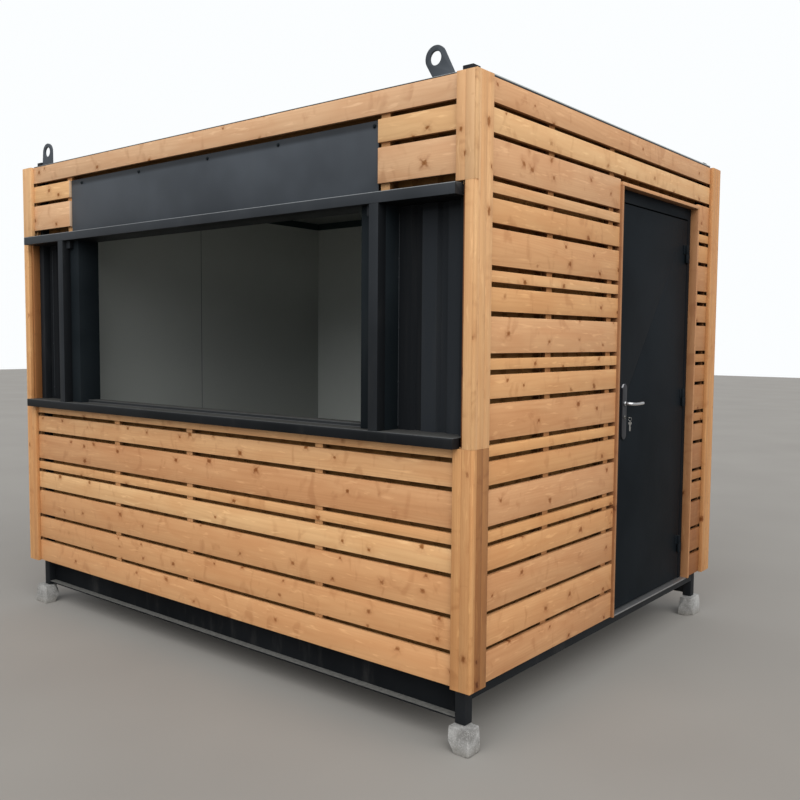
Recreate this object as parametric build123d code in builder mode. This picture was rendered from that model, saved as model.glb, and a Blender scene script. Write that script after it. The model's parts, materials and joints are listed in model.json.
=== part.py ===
"""Timber-clad street kiosk on a steel frame: a serving hatch in front, a steel door on the right."""
import os

from build123d import *

os.makedirs("parts", exist_ok=True)

# Overall size over the corner boards, and how far two things stand out of it
width = 3330
depth = 2550
bar_proud = 38
lever_proud = 8

# Timber cladding, bottom to top
cladding_bottom = 270
board_gap = 20
board_thickness = 20
board_widths = [125, 125] + [145, 95, 45] * 5 + [145, 95, 95]
hatch_board_count = 8
fascia_board_count = 2
top_board_count = 1
head_board_count = 2
left_short_board = 444
right_short_board = 464

# Boards that cover the corners and stand proud of the cladding
corner_board_width = 95
corner_board_thickness = 20
corner_board_drop = 3
hatch_strip_width = 50
corner_joint_rise = 8

# Upright battens between the cladding and the steel
batten_width = 48
batten_thickness = 22
front_batten_centres = (903, 1547, 2473)
side_batten_spacing = 578
door_batten_gap = 34
hatch_batten_centres = (460, 2852)

# Steel frame
foot_height = 106
post_size = 50
post_top = 2698
channel_height = 140
channel_flange = 45
channel_web = 6
channel_flange_thickness = 8
side_beam_height = 60
floor_thickness = 18
floor_top = 280
joist_width = 40
joist_count = 5
ceiling_thickness = 90

# Roof edge and lifting eyes
side_trim_height = 12
long_trim_height = 5
roof_sheet_thickness = 4
roof_rib_height = 12
roof_rib_angle = 60
pad_length = 108
pad_height = 20
eye_plate_thickness = 10
eye_plate_setback = 66
eye_hole_radius = 28
eye_outer_radius = 50
eye_foot_width = 108
eye_height = 123

# Lifting eyes: distance of the foot from the end of the building, then the lean towards the middle
lifting_eye_places = {
    "front_left": (168, 4),
    "front_right": (207, 40),
    "rear_left": (168, 4),
    "rear_right": (245, 40),
}

# Ribbed wall panels
rib_pitch = 131
rib_crest = 76
rib_foot = 100
rib_depth = 18
panel_core = 24
panel_setback = 98

# Serving hatch
sill_bottom = 1226
sill_top = 1270
header_bottom = 2197
header_top = 2243
bar_depth = 50
bar_end_gap = 70
ledge_thickness = 4
hatch_post_width = 50
hatch_post_offset = 450
bracket_width = 34
bracket_height = 44
bracket_depth = 24
jamb_width = 84
inner_sill_height = 14
inner_sill_depth = 80
fascia_thickness = 3
fascia_setback = 33
fascia_gap = 6

# Door
leaf_rear_margin = 355
leaf_width = 867
leaf_bottom = 276
leaf_top = 2330
leaf_setback = 52
leaf_thickness = 44
door_gap = 7
casing_thickness = 18
casing_setback = 8
casing_depth = 52
head_board_bottom = 2400
frame_width = 40
frame_stop_width = 22
frame_stop_clearance = 10
threshold_thickness = 8

# Hinges
hinge_heights = (478, 1328, 2141)
hinge_length = 100
hinge_axis_from_edge = 20
hinge_knuckle_radius = 8
hinge_pin_radius = 4
hinge_play = 0.08
hinge_standoff = 9.5
hinge_plate_width = 30
hinge_plate_thickness = 3
hinge_split = 1
hinge_foot = 14

# Door furniture
handle_distance = 89
plate_width = 48
plate_length = 282
plate_drop = 183
plate_thickness = 8
lever_height = 1332
lever_reach = 130
lever_section = (13, 20)
lever_neck_radius = 9
lever_play = 1
spindle_radius = 5
spindle_hole_radius = 6
cylinder_drop = 70
cylinder_radius = 8.5
cylinder_proud = 4
key_length = 24
key_width = 22
key_thickness = 2.5
spare_key_drop = 60

# Foot blocks: distance of the outer corner from the two wall faces, then length and breadth
foot_blocks = {
    "front_left": (18, 16, 130, 98),
    "front_right": (13, 17, 112, 98),
    "rear_left": (30, 16, 96, 150),
    "rear_right": (30, 16, 90, 160),
}
foot_taper = 4
foot_edge = 8

# Faces and heights that follow from the sizes above
left = -(width + lever_proud) / 2
right = left + width
front = -(depth - bar_proud) / 2
back = front + depth
middle_x = (left + right) / 2
middle_y = (front + back) / 2
cladding_back = corner_board_thickness + board_thickness
steel_face = cladding_back + batten_thickness
side_board_end = corner_board_thickness + corner_board_width
post_inner = steel_face + post_size
web_line = steel_face + channel_flange
core_face = panel_setback + rib_depth
panel_inner = core_face + panel_core
floor_bottom = floor_top - floor_thickness
base_bottom = floor_bottom - channel_height
side_beam_bottom = floor_bottom - side_beam_height
board_bottoms = [
    cladding_bottom + sum(board_widths[:row]) + board_gap * row
    for row in range(len(board_widths))
]
cladding_top = board_bottoms[-1] + board_widths[-1]
roof_level = cladding_top
roof_beam_bottom = roof_level - channel_height
ceiling_height = roof_level - ceiling_thickness
fascia_top = board_bottoms[-1] - board_gap
corner_bottom = cladding_bottom - corner_board_drop
hatch_start = hatch_post_offset + hatch_post_width + jamb_width
left_board_end = cladding_back + left_short_board
right_board_end = cladding_back + right_short_board
leaf_end = depth - leaf_rear_margin
leaf_start = leaf_end - leaf_width
doorway_start = leaf_start - door_gap
doorway_end = leaf_end + door_gap
frame_start = doorway_start - frame_width
frame_end = doorway_end + frame_width
casing_start = frame_start - casing_thickness
casing_end = frame_end + casing_thickness
head_board_top = head_board_bottom + casing_thickness
stop_setback = leaf_setback + leaf_thickness + frame_stop_clearance
leaf_face = right - leaf_setback
leaf_inside = leaf_face - leaf_thickness
hinge_x = leaf_face + hinge_standoff
hinge_y = front + leaf_end - hinge_axis_from_edge
handle_y = front + leaf_start + handle_distance
plate_bottom = lever_height - plate_drop
cylinder_height = lever_height - cylinder_drop
door_batten_centre = casing_start - door_batten_gap - batten_width / 2
lever_centre_x = right + lever_proud - lever_section[0] / 2
lever_inner_x = leaf_inside - (lever_centre_x - leaf_face)


def box_between(x_range, y_range, z_range):
    """Adds a straight piece between two x, two y and two z values to the part being built."""
    with BuildSketch(Plane.XY.offset(z_range[0])) as outline:
        with Locations((sum(x_range) / 2, sum(y_range) / 2)):
            Rectangle(x_range[1] - x_range[0], y_range[1] - y_range[0])
    extrude(outline.sketch, amount=z_range[1] - z_range[0])


def run_x(start, end):
    """The x values of a piece between two distances from the left end."""
    return (left + start, left + end)


def run_y(start, end):
    """The y values of a piece between two distances from the front face."""
    return (front + start, front + end)


def from_right(start, end):
    """The x values of a piece between two distances in from the right end."""
    return (right - end, right - start)


def from_back(start, end):
    """The y values of a piece between two distances in from the back face."""
    return (back - end, back - start)


def ribbed_section(plane, run, face, inward, run_middle):
    """Draws a wall panel's section: a flat core with ribs that point away from the room."""
    start, end = run
    core_near = face + inward * rib_depth
    core_far = core_near + inward * panel_core
    steps = int((end - start) / rib_pitch) + 4
    first = run_middle + (round((start - run_middle) / rib_pitch) - 1.5) * rib_pitch
    with BuildSketch(plane) as section:
        with Locations(((start + end) / 2, (core_near + core_far) / 2)):
            Rectangle(end - start, panel_core)
        for step in range(steps):
            centre = first + step * rib_pitch
            with BuildLine():
                Polyline(
                    (centre - rib_foot / 2, core_near),
                    (centre - rib_crest / 2, face),
                    (centre + rib_crest / 2, face),
                    (centre + rib_foot / 2, core_near),
                    close=True,
                )
            make_face()
        with Locations(((start + end) / 2, (face + core_far) / 2)):
            Rectangle(end - start, rib_depth + panel_core, mode=Mode.INTERSECT)
    return section.sketch


def wall_x(x_range, front_wall, z_range):
    """Adds a ribbed panel that runs along the building's length."""
    face = front + panel_setback if front_wall else back - panel_setback
    section = ribbed_section(
        Plane.XY.offset(z_range[0]), x_range, face, 1 if front_wall else -1, middle_x
    )
    extrude(section, amount=z_range[1] - z_range[0])


def wall_y(y_range, left_wall, z_range):
    """Adds a ribbed panel that runs along the building's depth."""
    face = left + panel_setback if left_wall else right - panel_setback
    plane = Plane(origin=(0, 0, z_range[0]), x_dir=(0, 1, 0), z_dir=(0, 0, 1))
    section = ribbed_section(plane, y_range, -face, -1 if left_wall else 1, middle_y)
    extrude(section, amount=z_range[1] - z_range[0])


def channel_section(plane, start, open_side):
    """Draws a steel channel's section, with its web on the side away from open_side."""
    with BuildSketch(plane) as section:
        with Locations((start + channel_flange / 2, channel_height / 2)):
            Rectangle(channel_flange, channel_height)
        with Locations((start + (channel_flange + open_side * channel_web) / 2, channel_height / 2)):
            Rectangle(
                channel_flange - channel_web,
                channel_height - 2 * channel_flange_thickness,
                mode=Mode.SUBTRACT,
            )
    return section.sketch


def section_plane_x(x, z):
    """A plane across the building's length: its x axis is the building's y, its y is z."""
    return Plane(origin=(x, 0, z), x_dir=(0, 1, 0), z_dir=(1, 0, 0))


def section_plane_y(y, z):
    """A plane across the building's depth: its x axis is the building's x, its y is z."""
    return Plane(origin=(0, y, z), x_dir=(1, 0, 0), z_dir=(0, -1, 0))


def channels_along_x(z):
    """Adds a pair of channels between the posts, in front and behind, open to the outside."""
    for start, open_side in ((front + steel_face, -1), (back - web_line, 1)):
        section = channel_section(section_plane_x(left + post_inner, z), start, open_side)
        extrude(section, amount=width - 2 * post_inner)


def channels_along_y(z):
    """Adds a pair of channels between the posts at the two ends, open to the outside."""
    for start, open_side in ((left + steel_face, -1), (right - web_line, 1)):
        section = channel_section(section_plane_y(back - post_inner, z), start, open_side)
        extrude(section, amount=depth - 2 * post_inner)


# Foot blocks of rough stone under the four posts
with BuildPart() as foot_block_set:
    for place, (from_side, from_face, length, breadth) in foot_blocks.items():
        x_range = run_x(from_side, from_side + length)
        if "right" in place:
            x_range = from_right(from_side, from_side + length)
        y_range = run_y(from_face, from_face + breadth)
        if "rear" in place:
            y_range = from_back(from_face, from_face + breadth)
        with BuildSketch() as foot:
            with Locations((sum(x_range) / 2, sum(y_range) / 2)):
                RectangleRounded(length, breadth, foot_edge)
        extrude(foot.sketch, amount=foot_height, taper=foot_taper)
foot_block_set.part.label = "foot_blocks"
export_step(foot_block_set.part, "parts/foot_blocks.step")

# Corner posts, which run from the foot blocks up through the roof edge
with BuildPart() as corner_posts:
    for x_range in (run_x(steel_face, post_inner), from_right(steel_face, post_inner)):
        for y_range in (run_y(steel_face, post_inner), from_back(steel_face, post_inner)):
            box_between(x_range, y_range, (foot_height, post_top))
corner_posts.part.label = "corner_posts"
export_step(corner_posts.part, "parts/corner_posts.step")

# Base channels in front and behind
with BuildPart() as base_channels:
    channels_along_x(base_bottom)
base_channels.part.label = "base_channels"
export_step(base_channels.part, "parts/base_channels.step")

# Shallower beams under the two ends, and joists between the base channels
with BuildPart() as floor_beams:
    beam_heights = (side_beam_bottom, floor_bottom)
    box_between(run_x(steel_face, post_inner), (front + post_inner, back - post_inner), beam_heights)
    box_between(from_right(steel_face, post_inner), (front + post_inner, back - post_inner), beam_heights)
    joist_spacing = (width - 2 * post_inner) / (joist_count + 1)
    with BuildSketch(Plane.XY.offset(side_beam_bottom)) as joists:
        with Locations((middle_x, middle_y)):
            with GridLocations(joist_spacing, 0, joist_count, 1):
                Rectangle(joist_width, depth - 2 * web_line)
    extrude(joists.sketch, amount=side_beam_height)
floor_beams.part.label = "floor_beams"
export_step(floor_beams.part, "parts/floor_beams.step")

# Floor panel, notched round the posts
with BuildPart() as floor_panel:
    with BuildSketch(Plane.XY.offset(floor_bottom)) as floor_outline:
        floor_notch = post_inner - panel_setback
        with Locations((middle_x, middle_y)):
            Rectangle(width - 2 * panel_setback, depth - 2 * panel_setback)
            with GridLocations(
                width - 2 * panel_setback - floor_notch, depth - 2 * panel_setback - floor_notch, 2, 2
            ):
                Rectangle(floor_notch, floor_notch, mode=Mode.SUBTRACT)
        door_notch_x = from_right(panel_setback, stop_setback)
        door_notch_y = run_y(frame_start, frame_end)
        with Locations((sum(door_notch_x) / 2, sum(door_notch_y) / 2)):
            Rectangle(stop_setback - panel_setback, frame_end - frame_start, mode=Mode.SUBTRACT)
    extrude(floor_outline.sketch, amount=floor_thickness)
floor_panel.part.label = "floor_panel"
export_step(floor_panel.part, "parts/floor_panel.step")

# Ring of roof channels
with BuildPart() as roof_beams:
    channels_along_x(roof_beam_bottom)
    channels_along_y(roof_beam_bottom)
roof_beams.part.label = "roof_beams"
export_step(roof_beams.part, "parts/roof_beams.step")

# Ceiling, a thick panel between the roof channels
with BuildPart() as ceiling_panel:
    with BuildSketch(Plane.XY.offset(ceiling_height)) as ceiling_outline:
        ceiling_notch = post_inner - web_line
        with Locations((middle_x, middle_y)):
            Rectangle(width - 2 * web_line, depth - 2 * web_line)
            with GridLocations(
                width - 2 * web_line - ceiling_notch, depth - 2 * web_line - ceiling_notch, 2, 2
            ):
                Rectangle(ceiling_notch, ceiling_notch, mode=Mode.SUBTRACT)
    extrude(ceiling_outline.sketch, amount=roof_level - ceiling_height)
ceiling_panel.part.label = "ceiling_panel"
export_step(ceiling_panel.part, "parts/ceiling_panel.step")

# Roof sheet with low ribs that run from front to back
with BuildPart() as roof_sheet:
    sheet_length = width - 2 * post_inner
    with BuildSketch(section_plane_y(back - post_inner, roof_level)) as sheet_section:
        with Locations((middle_x, roof_sheet_thickness / 2)):
            Rectangle(sheet_length, roof_sheet_thickness)
        with Locations((middle_x, roof_sheet_thickness)):
            with GridLocations(rib_pitch, 0, int(sheet_length / rib_pitch) - 1, 1):
                Trapezoid(
                    rib_pitch - rib_crest,
                    roof_rib_height,
                    roof_rib_angle,
                    align=(Align.CENTER, Align.MIN),
                )
    extrude(sheet_section.sketch, amount=depth - 2 * post_inner)
roof_sheet.part.label = "roof_sheet"
export_step(roof_sheet.part, "parts/roof_sheet.step")

# Thin trim over the top edge of the cladding, between the corner boards
with BuildPart() as roof_trim:
    trim_reach = (corner_board_thickness, steel_face)
    long_run = run_x(corner_board_width, width - corner_board_width)
    long_heights = (cladding_top, cladding_top + long_trim_height)
    box_between(long_run, run_y(*trim_reach), long_heights)
    box_between(long_run, from_back(*trim_reach), long_heights)
    side_run = run_y(side_board_end, depth - side_board_end)
    side_heights = (cladding_top, cladding_top + side_trim_height)
    box_between(run_x(*trim_reach), side_run, side_heights)
    box_between(from_right(*trim_reach), side_run, side_heights)
roof_trim.part.label = "roof_trim"
export_step(roof_trim.part, "parts/roof_trim.step")

# Lifting eyes: plates with a round top that lean towards the middle, on pads over the roof channels
with BuildPart() as lifting_eyes:
    eye_base = roof_level + pad_height
    eye_rise = eye_height - eye_outer_radius
    plate_depths = (eye_plate_setback, eye_plate_setback + eye_plate_thickness)
    for place, (end_distance, lean) in lifting_eye_places.items():
        side = 1 if "right" in place else -1
        foot_x = middle_x + side * (width / 2 - end_distance)
        eye_x = foot_x - side * lean
        inward = from_back if "rear" in place else run_y
        pad_x = (foot_x - pad_length / 2, foot_x + pad_length / 2)
        box_between(pad_x, inward(steel_face, web_line), (roof_level, eye_base))
        with BuildSketch(section_plane_y(inward(*plate_depths)[1], eye_base)) as eye:
            with Locations((eye_x, eye_rise)):
                Circle(eye_outer_radius)
            with BuildLine():
                Polyline(
                    (foot_x - eye_foot_width / 2, 0),
                    (foot_x + eye_foot_width / 2, 0),
                    (eye_x, eye_rise),
                    close=True,
                )
            make_face()
            make_hull()
            with Locations((eye_x, eye_rise)):
                Circle(eye_hole_radius, mode=Mode.SUBTRACT)
        extrude(eye.sketch, amount=eye_plate_thickness)
lifting_eyes.part.label = "lifting_eyes"
export_step(lifting_eyes.part, "parts/lifting_eyes.step")

# Wall panels, which stand on the floor panel and end under the roof channels
with BuildPart() as left_wall:
    wall_y(run_y(panel_inner, depth - panel_inner), True, (floor_top, roof_beam_bottom))
left_wall.part.label = "left_wall"
export_step(left_wall.part, "parts/left_wall.step")

with BuildPart() as back_wall:
    wall_x(run_x(post_inner, width - post_inner), False, (floor_top, roof_beam_bottom))
back_wall.part.label = "back_wall"
export_step(back_wall.part, "parts/back_wall.step")

with BuildPart() as front_wall:
    ledge_bottom = sill_top - ledge_thickness
    soffit_top = header_bottom + ledge_thickness
    wall_x(run_x(post_inner, width - post_inner), True, (floor_top, ledge_bottom))
    wall_x(run_x(post_inner, hatch_post_offset), True, (sill_top, header_bottom))
    wall_x(run_x(width - hatch_post_offset, width - post_inner), True, (sill_top, header_bottom))
    wall_x(run_x(post_inner, width - post_inner), True, (soffit_top, roof_beam_bottom))
front_wall.part.label = "front_wall"
export_step(front_wall.part, "parts/front_wall.step")

with BuildPart() as right_wall:
    wall_y(run_y(panel_inner, frame_start), False, (floor_top, roof_beam_bottom))
    wall_y(run_y(frame_end, depth - panel_inner), False, (floor_top, roof_beam_bottom))
    wall_y(run_y(frame_start, frame_end), False, (head_board_bottom, roof_beam_bottom))
right_wall.part.label = "right_wall"
export_step(right_wall.part, "parts/right_wall.step")

# Battens
batten_depths = (cladding_back, steel_face)
corner_batten_centre = cladding_back + batten_width / 2
corner_battens = (corner_batten_centre, width - corner_batten_centre)
side_corner_batten_centre = steel_face + batten_width / 2
side_corner_battens = (side_corner_batten_centre, depth - side_corner_batten_centre)

with BuildPart() as front_battens:
    for centre in corner_battens + front_batten_centres:
        batten_x = run_x(centre - batten_width / 2, centre + batten_width / 2)
        box_between(batten_x, run_y(*batten_depths), (cladding_bottom, sill_bottom))
    for centre in corner_battens + hatch_batten_centres:
        batten_x = run_x(centre - batten_width / 2, centre + batten_width / 2)
        box_between(batten_x, run_y(*batten_depths), (header_top, cladding_top))
front_battens.part.label = "front_battens"
export_step(front_battens.part, "parts/front_battens.step")

with BuildPart() as back_battens:
    for centre in corner_battens + front_batten_centres:
        batten_x = run_x(centre - batten_width / 2, centre + batten_width / 2)
        box_between(batten_x, from_back(*batten_depths), (cladding_bottom, cladding_top))
back_battens.part.label = "back_battens"
export_step(back_battens.part, "parts/back_battens.step")

with BuildPart() as left_battens:
    middle_battens = (depth / 2 - side_batten_spacing, depth / 2, depth / 2 + side_batten_spacing)
    for centre in side_corner_battens + middle_battens:
        batten_y = run_y(centre - batten_width / 2, centre + batten_width / 2)
        box_between(run_x(*batten_depths), batten_y, (cladding_bottom, cladding_top))
left_battens.part.label = "left_battens"
export_step(left_battens.part, "parts/left_battens.step")

with BuildPart() as right_battens:
    for centre in side_corner_battens + (door_batten_centre - side_batten_spacing, door_batten_centre):
        batten_y = run_y(centre - batten_width / 2, centre + batten_width / 2)
        box_between(from_right(*batten_depths), batten_y, (cladding_bottom, cladding_top))
right_battens.part.label = "right_battens"
export_step(right_battens.part, "parts/right_battens.step")

# Cladding boards
board_rows = list(zip(board_bottoms, board_widths))
board_depths = (corner_board_thickness, cladding_back)
full_x = run_x(corner_board_thickness, width - corner_board_thickness)
full_y = run_y(cladding_back, depth - cladding_back)

with BuildPart() as front_lower_boards:
    for bottom, board in board_rows[:hatch_board_count]:
        box_between(full_x, run_y(*board_depths), (bottom, bottom + board))
front_lower_boards.part.label = "front_lower_boards"
export_step(front_lower_boards.part, "parts/front_lower_boards.step")

with BuildPart() as front_upper_boards:
    for bottom, board in board_rows[-fascia_board_count - top_board_count : -top_board_count]:
        heights = (bottom, bottom + board)
        box_between(run_x(corner_board_thickness, left_board_end), run_y(*board_depths), heights)
        box_between(from_right(corner_board_thickness, right_board_end), run_y(*board_depths), heights)
    for bottom, board in board_rows[-top_board_count:]:
        box_between(full_x, run_y(*board_depths), (bottom, bottom + board))
front_upper_boards.part.label = "front_upper_boards"
export_step(front_upper_boards.part, "parts/front_upper_boards.step")

with BuildPart() as back_boards:
    for bottom, board in board_rows:
        box_between(full_x, from_back(*board_depths), (bottom, bottom + board))
back_boards.part.label = "back_boards"
export_step(back_boards.part, "parts/back_boards.step")

with BuildPart() as left_boards:
    for bottom, board in board_rows:
        box_between(run_x(*board_depths), full_y, (bottom, bottom + board))
left_boards.part.label = "left_boards"
export_step(left_boards.part, "parts/left_boards.step")

with BuildPart() as right_front_boards:
    for bottom, board in board_rows[:-head_board_count]:
        heights = (bottom, bottom + board)
        box_between(from_right(*board_depths), run_y(cladding_back, casing_start), heights)
right_front_boards.part.label = "right_front_boards"
export_step(right_front_boards.part, "parts/right_front_boards.step")

with BuildPart() as right_rear_boards:
    for bottom, board in board_rows[:-head_board_count]:
        heights = (bottom, bottom + board)
        box_between(from_right(*board_depths), run_y(casing_end, depth - cladding_back), heights)
    for bottom, board in board_rows[-head_board_count:]:
        box_between(from_right(*board_depths), full_y, (bottom, bottom + board))
right_rear_boards.part.label = "right_rear_boards"
export_step(right_rear_boards.part, "parts/right_rear_boards.step")

# Corner boards: wide ones below and above the hatch, narrow strips beside it
with BuildPart() as front_corner_boards:
    corner_joint = header_top + corner_joint_rise
    for inward in (run_x, from_right):
        board_y = run_y(0, corner_board_thickness)
        box_between(inward(0, corner_board_width), board_y, (corner_bottom, sill_bottom))
        box_between(inward(0, hatch_strip_width), board_y, (sill_bottom, corner_joint))
        box_between(inward(0, corner_board_width), board_y, (corner_joint, cladding_top))
front_corner_boards.part.label = "front_corner_boards"
export_step(front_corner_boards.part, "parts/front_corner_boards.step")

with BuildPart() as back_corner_boards:
    for inward in (run_x, from_right):
        board_y = from_back(0, corner_board_thickness)
        box_between(inward(0, corner_board_width), board_y, (corner_bottom, cladding_top))
back_corner_boards.part.label = "back_corner_boards"
export_step(back_corner_boards.part, "parts/back_corner_boards.step")

with BuildPart() as side_corner_boards:
    for inward in (run_x, from_right):
        board_x = inward(0, corner_board_thickness)
        for from_face in (run_y, from_back):
            board_y = from_face(corner_board_thickness, side_board_end)
            box_between(board_x, board_y, (corner_bottom, cladding_top))
side_corner_boards.part.label = "side_corner_boards"
export_step(side_corner_boards.part, "parts/side_corner_boards.step")

# Boards that line the recess at both ends of the hatch
with BuildPart() as hatch_reveal_boards:
    reveal_bottom = board_bottoms[hatch_board_count - 1] + board_widths[hatch_board_count - 1]
    for inward in (run_x, from_right):
        reveal_y = run_y(corner_board_thickness, steel_face)
        box_between(inward(hatch_strip_width, bar_end_gap), reveal_y, (reveal_bottom, header_top))
hatch_reveal_boards.part.label = "hatch_reveal_boards"
export_step(hatch_reveal_boards.part, "parts/hatch_reveal_boards.step")

# Header: a deep front bar, a soffit behind it, and a ledge that carries the fascia
with BuildPart() as hatch_header:
    bar_x = run_x(bar_end_gap, width - bar_end_gap)
    inner_x = run_x(post_inner, width - post_inner)
    bar_back = bar_depth - bar_proud
    box_between(bar_x, run_y(-bar_proud, bar_back), (header_bottom, header_top))
    box_between(bar_x, run_y(bar_back, steel_face), (header_bottom, soffit_top))
    box_between(inner_x, run_y(steel_face, panel_inner), (header_bottom, soffit_top))
    box_between(
        run_x(hatch_start, width - hatch_start),
        run_y(bar_back, steel_face),
        (header_top - ledge_thickness, header_top),
    )
hatch_header.part.label = "hatch_header"
export_step(hatch_header.part, "parts/hatch_header.step")

# Sill: a deep front bar with a counter ledge that runs into the room
with BuildPart() as hatch_sill:
    box_between(bar_x, run_y(-bar_proud, bar_back), (sill_bottom, sill_top))
    box_between(bar_x, run_y(bar_back, steel_face), (ledge_bottom, sill_top))
    box_between(inner_x, run_y(steel_face, panel_inner), (ledge_bottom, sill_top))
    box_between(
        run_x(hatch_start, width - hatch_start),
        run_y(panel_inner - inner_sill_depth, panel_inner),
        (sill_top, sill_top + inner_sill_height),
    )
hatch_sill.part.label = "hatch_sill"
export_step(hatch_sill.part, "parts/hatch_sill.step")

# Posts at both ends of the opening, each with a small bracket under the header, and deep jambs
with BuildPart() as hatch_posts:
    post_end = hatch_post_offset + hatch_post_width
    bracket_heights = (header_bottom - bracket_height, header_bottom)
    for inward in (run_x, from_right):
        post_x = inward(hatch_post_offset, post_end)
        box_between(post_x, run_y(-bar_proud, bar_back), (sill_top, header_bottom))
        bracket_x = inward(post_end, post_end + bracket_width)
        box_between(bracket_x, run_y(bar_back - bracket_depth, bar_back), bracket_heights)
hatch_posts.part.label = "hatch_posts"
export_step(hatch_posts.part, "parts/hatch_posts.step")

with BuildPart() as hatch_jambs:
    for inward in (run_x, from_right):
        jamb_x = inward(hatch_post_offset, hatch_start)
        box_between(jamb_x, run_y(bar_back, panel_inner), (sill_top, header_bottom))
hatch_jambs.part.label = "hatch_jambs"
export_step(hatch_jambs.part, "parts/hatch_jambs.step")

# Fascia sheet over the hatch, folded back to the steel along its top
with BuildPart() as hatch_fascia:
    fascia_x = run_x(left_board_end + fascia_gap, width - right_board_end - fascia_gap)
    fascia_y = run_y(fascia_setback, fascia_setback + fascia_thickness)
    box_between(fascia_x, fascia_y, (header_top, fascia_top))
    fold_heights = (fascia_top - fascia_thickness, fascia_top)
    box_between(fascia_x, run_y(fascia_setback, steel_face), fold_heights)
hatch_fascia.part.label = "hatch_fascia"
export_step(hatch_fascia.part, "parts/hatch_fascia.step")

# Timber casing round the doorway
with BuildPart() as door_casing:
    casing_x = from_right(casing_setback, casing_setback + casing_depth)
    box_between(casing_x, run_y(casing_start, frame_start), (corner_bottom, head_board_bottom))
    box_between(casing_x, run_y(frame_end, casing_end), (corner_bottom, head_board_bottom))
    box_between(casing_x, run_y(casing_start, casing_end), (head_board_bottom, head_board_top))
door_casing.part.label = "door_casing"
export_step(door_casing.part, "parts/door_casing.step")

# Steel door frame with stops behind the leaf, and the threshold
with BuildPart() as door_frame:
    tube_x = from_right(leaf_setback, panel_inner)
    stop_x = from_right(stop_setback, panel_inner)
    frame_heights = (floor_top, head_board_bottom)
    foot_x = from_right(leaf_setback, stop_setback)
    frame_foot = (floor_bottom + threshold_thickness, floor_top)
    for tube_y in (run_y(frame_start, doorway_start), run_y(doorway_end, frame_end)):
        box_between(tube_x, tube_y, frame_heights)
        box_between(foot_x, tube_y, frame_foot)
    box_between(stop_x, run_y(doorway_start, doorway_start + frame_stop_width), frame_heights)
    box_between(stop_x, run_y(doorway_end - frame_stop_width, doorway_end), frame_heights)
    box_between(
        from_right(leaf_setback, panel_inner),
        run_y(doorway_start, doorway_end),
        (leaf_top + door_gap, head_board_bottom),
    )
door_frame.part.label = "door_frame"
export_step(door_frame.part, "parts/door_frame.step")

with BuildPart() as door_threshold:
    threshold_x = from_right(corner_board_thickness, stop_setback)
    threshold_heights = (floor_bottom, floor_bottom + threshold_thickness)
    box_between(threshold_x, run_y(frame_start, frame_end), threshold_heights)
door_threshold.part.label = "door_threshold"
export_step(door_threshold.part, "parts/door_threshold.step")

# Door leaf, bored for the lever's spindle
with BuildPart() as door_leaf:
    box_between((leaf_inside, leaf_face), run_y(leaf_start, leaf_end), (leaf_bottom, leaf_top))
    with BuildSketch(section_plane_x(leaf_inside, 0)) as leaf_bore:
        with Locations((handle_y, lever_height)):
            Circle(spindle_hole_radius)
    extrude(leaf_bore.sketch, amount=leaf_thickness, mode=Mode.SUBTRACT)
door_leaf.part.label = "door_leaf"
export_step(door_leaf.part, "parts/door_leaf.step")

# Hinges: the frame half carries the pin and the lower knuckle, the leaf half turns on it
with BuildPart() as hinge_frame_halves:
    for height in hinge_heights:
        low = height - hinge_length / 2
        high = height + hinge_length / 2
        with BuildSketch(Plane.XY.offset(low)) as lower_knuckle:
            with Locations((hinge_x, hinge_y)):
                Circle(hinge_knuckle_radius)
        extrude(lower_knuckle.sketch, amount=hinge_length / 2 - hinge_split)
        with BuildSketch(Plane.XY.offset(low)) as pin:
            with Locations((hinge_x, hinge_y)):
                Circle(hinge_pin_radius)
        extrude(pin.sketch, amount=hinge_length)
        box_between(
            (hinge_x - hinge_plate_thickness / 2, hinge_x + hinge_plate_thickness / 2),
            (hinge_y, front + doorway_end + hinge_foot),
            (low, height - hinge_split),
        )
        box_between(
            (leaf_face, hinge_x),
            run_y(doorway_end, doorway_end + hinge_foot),
            (low, height - hinge_split),
        )
hinge_frame_halves.part.label = "hinge_frame_halves"
export_step(hinge_frame_halves.part, "parts/hinge_frame_halves.step")

with BuildPart() as hinge_leaf_halves:
    for height in hinge_heights:
        with BuildSketch(Plane.XY.offset(height)) as upper_knuckle:
            with Locations((hinge_x, hinge_y)):
                Circle(hinge_knuckle_radius)
            with Locations(((leaf_face + hinge_x) / 2, hinge_y - hinge_knuckle_radius / 2)):
                Rectangle(hinge_standoff, hinge_knuckle_radius)
            with Locations((leaf_face + hinge_plate_thickness / 2, hinge_y - hinge_plate_width / 2)):
                Rectangle(hinge_plate_thickness, hinge_plate_width)
            with Locations((hinge_x, hinge_y)):
                Circle(hinge_pin_radius + hinge_play, mode=Mode.SUBTRACT)
        extrude(upper_knuckle.sketch, amount=hinge_length / 2)
hinge_leaf_halves.part.label = "hinge_leaf_halves"
export_step(hinge_leaf_halves.part, "parts/hinge_leaf_halves.step")

# Long handle plates on both faces of the leaf
with BuildPart() as handle_plates:
    plate_middle = plate_bottom + plate_length / 2
    for plate_x in (leaf_face, leaf_inside - plate_thickness):
        with BuildSketch(section_plane_x(plate_x, 0)) as plate:
            with Locations((handle_y, plate_middle)):
                SlotOverall(plate_length, plate_width, rotation=90)
            with Locations((handle_y, lever_height)):
                Circle(spindle_hole_radius, mode=Mode.SUBTRACT)
        extrude(plate.sketch, amount=plate_thickness)
handle_plates.part.label = "handle_plates"
export_step(handle_plates.part, "parts/handle_plates.step")

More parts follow.
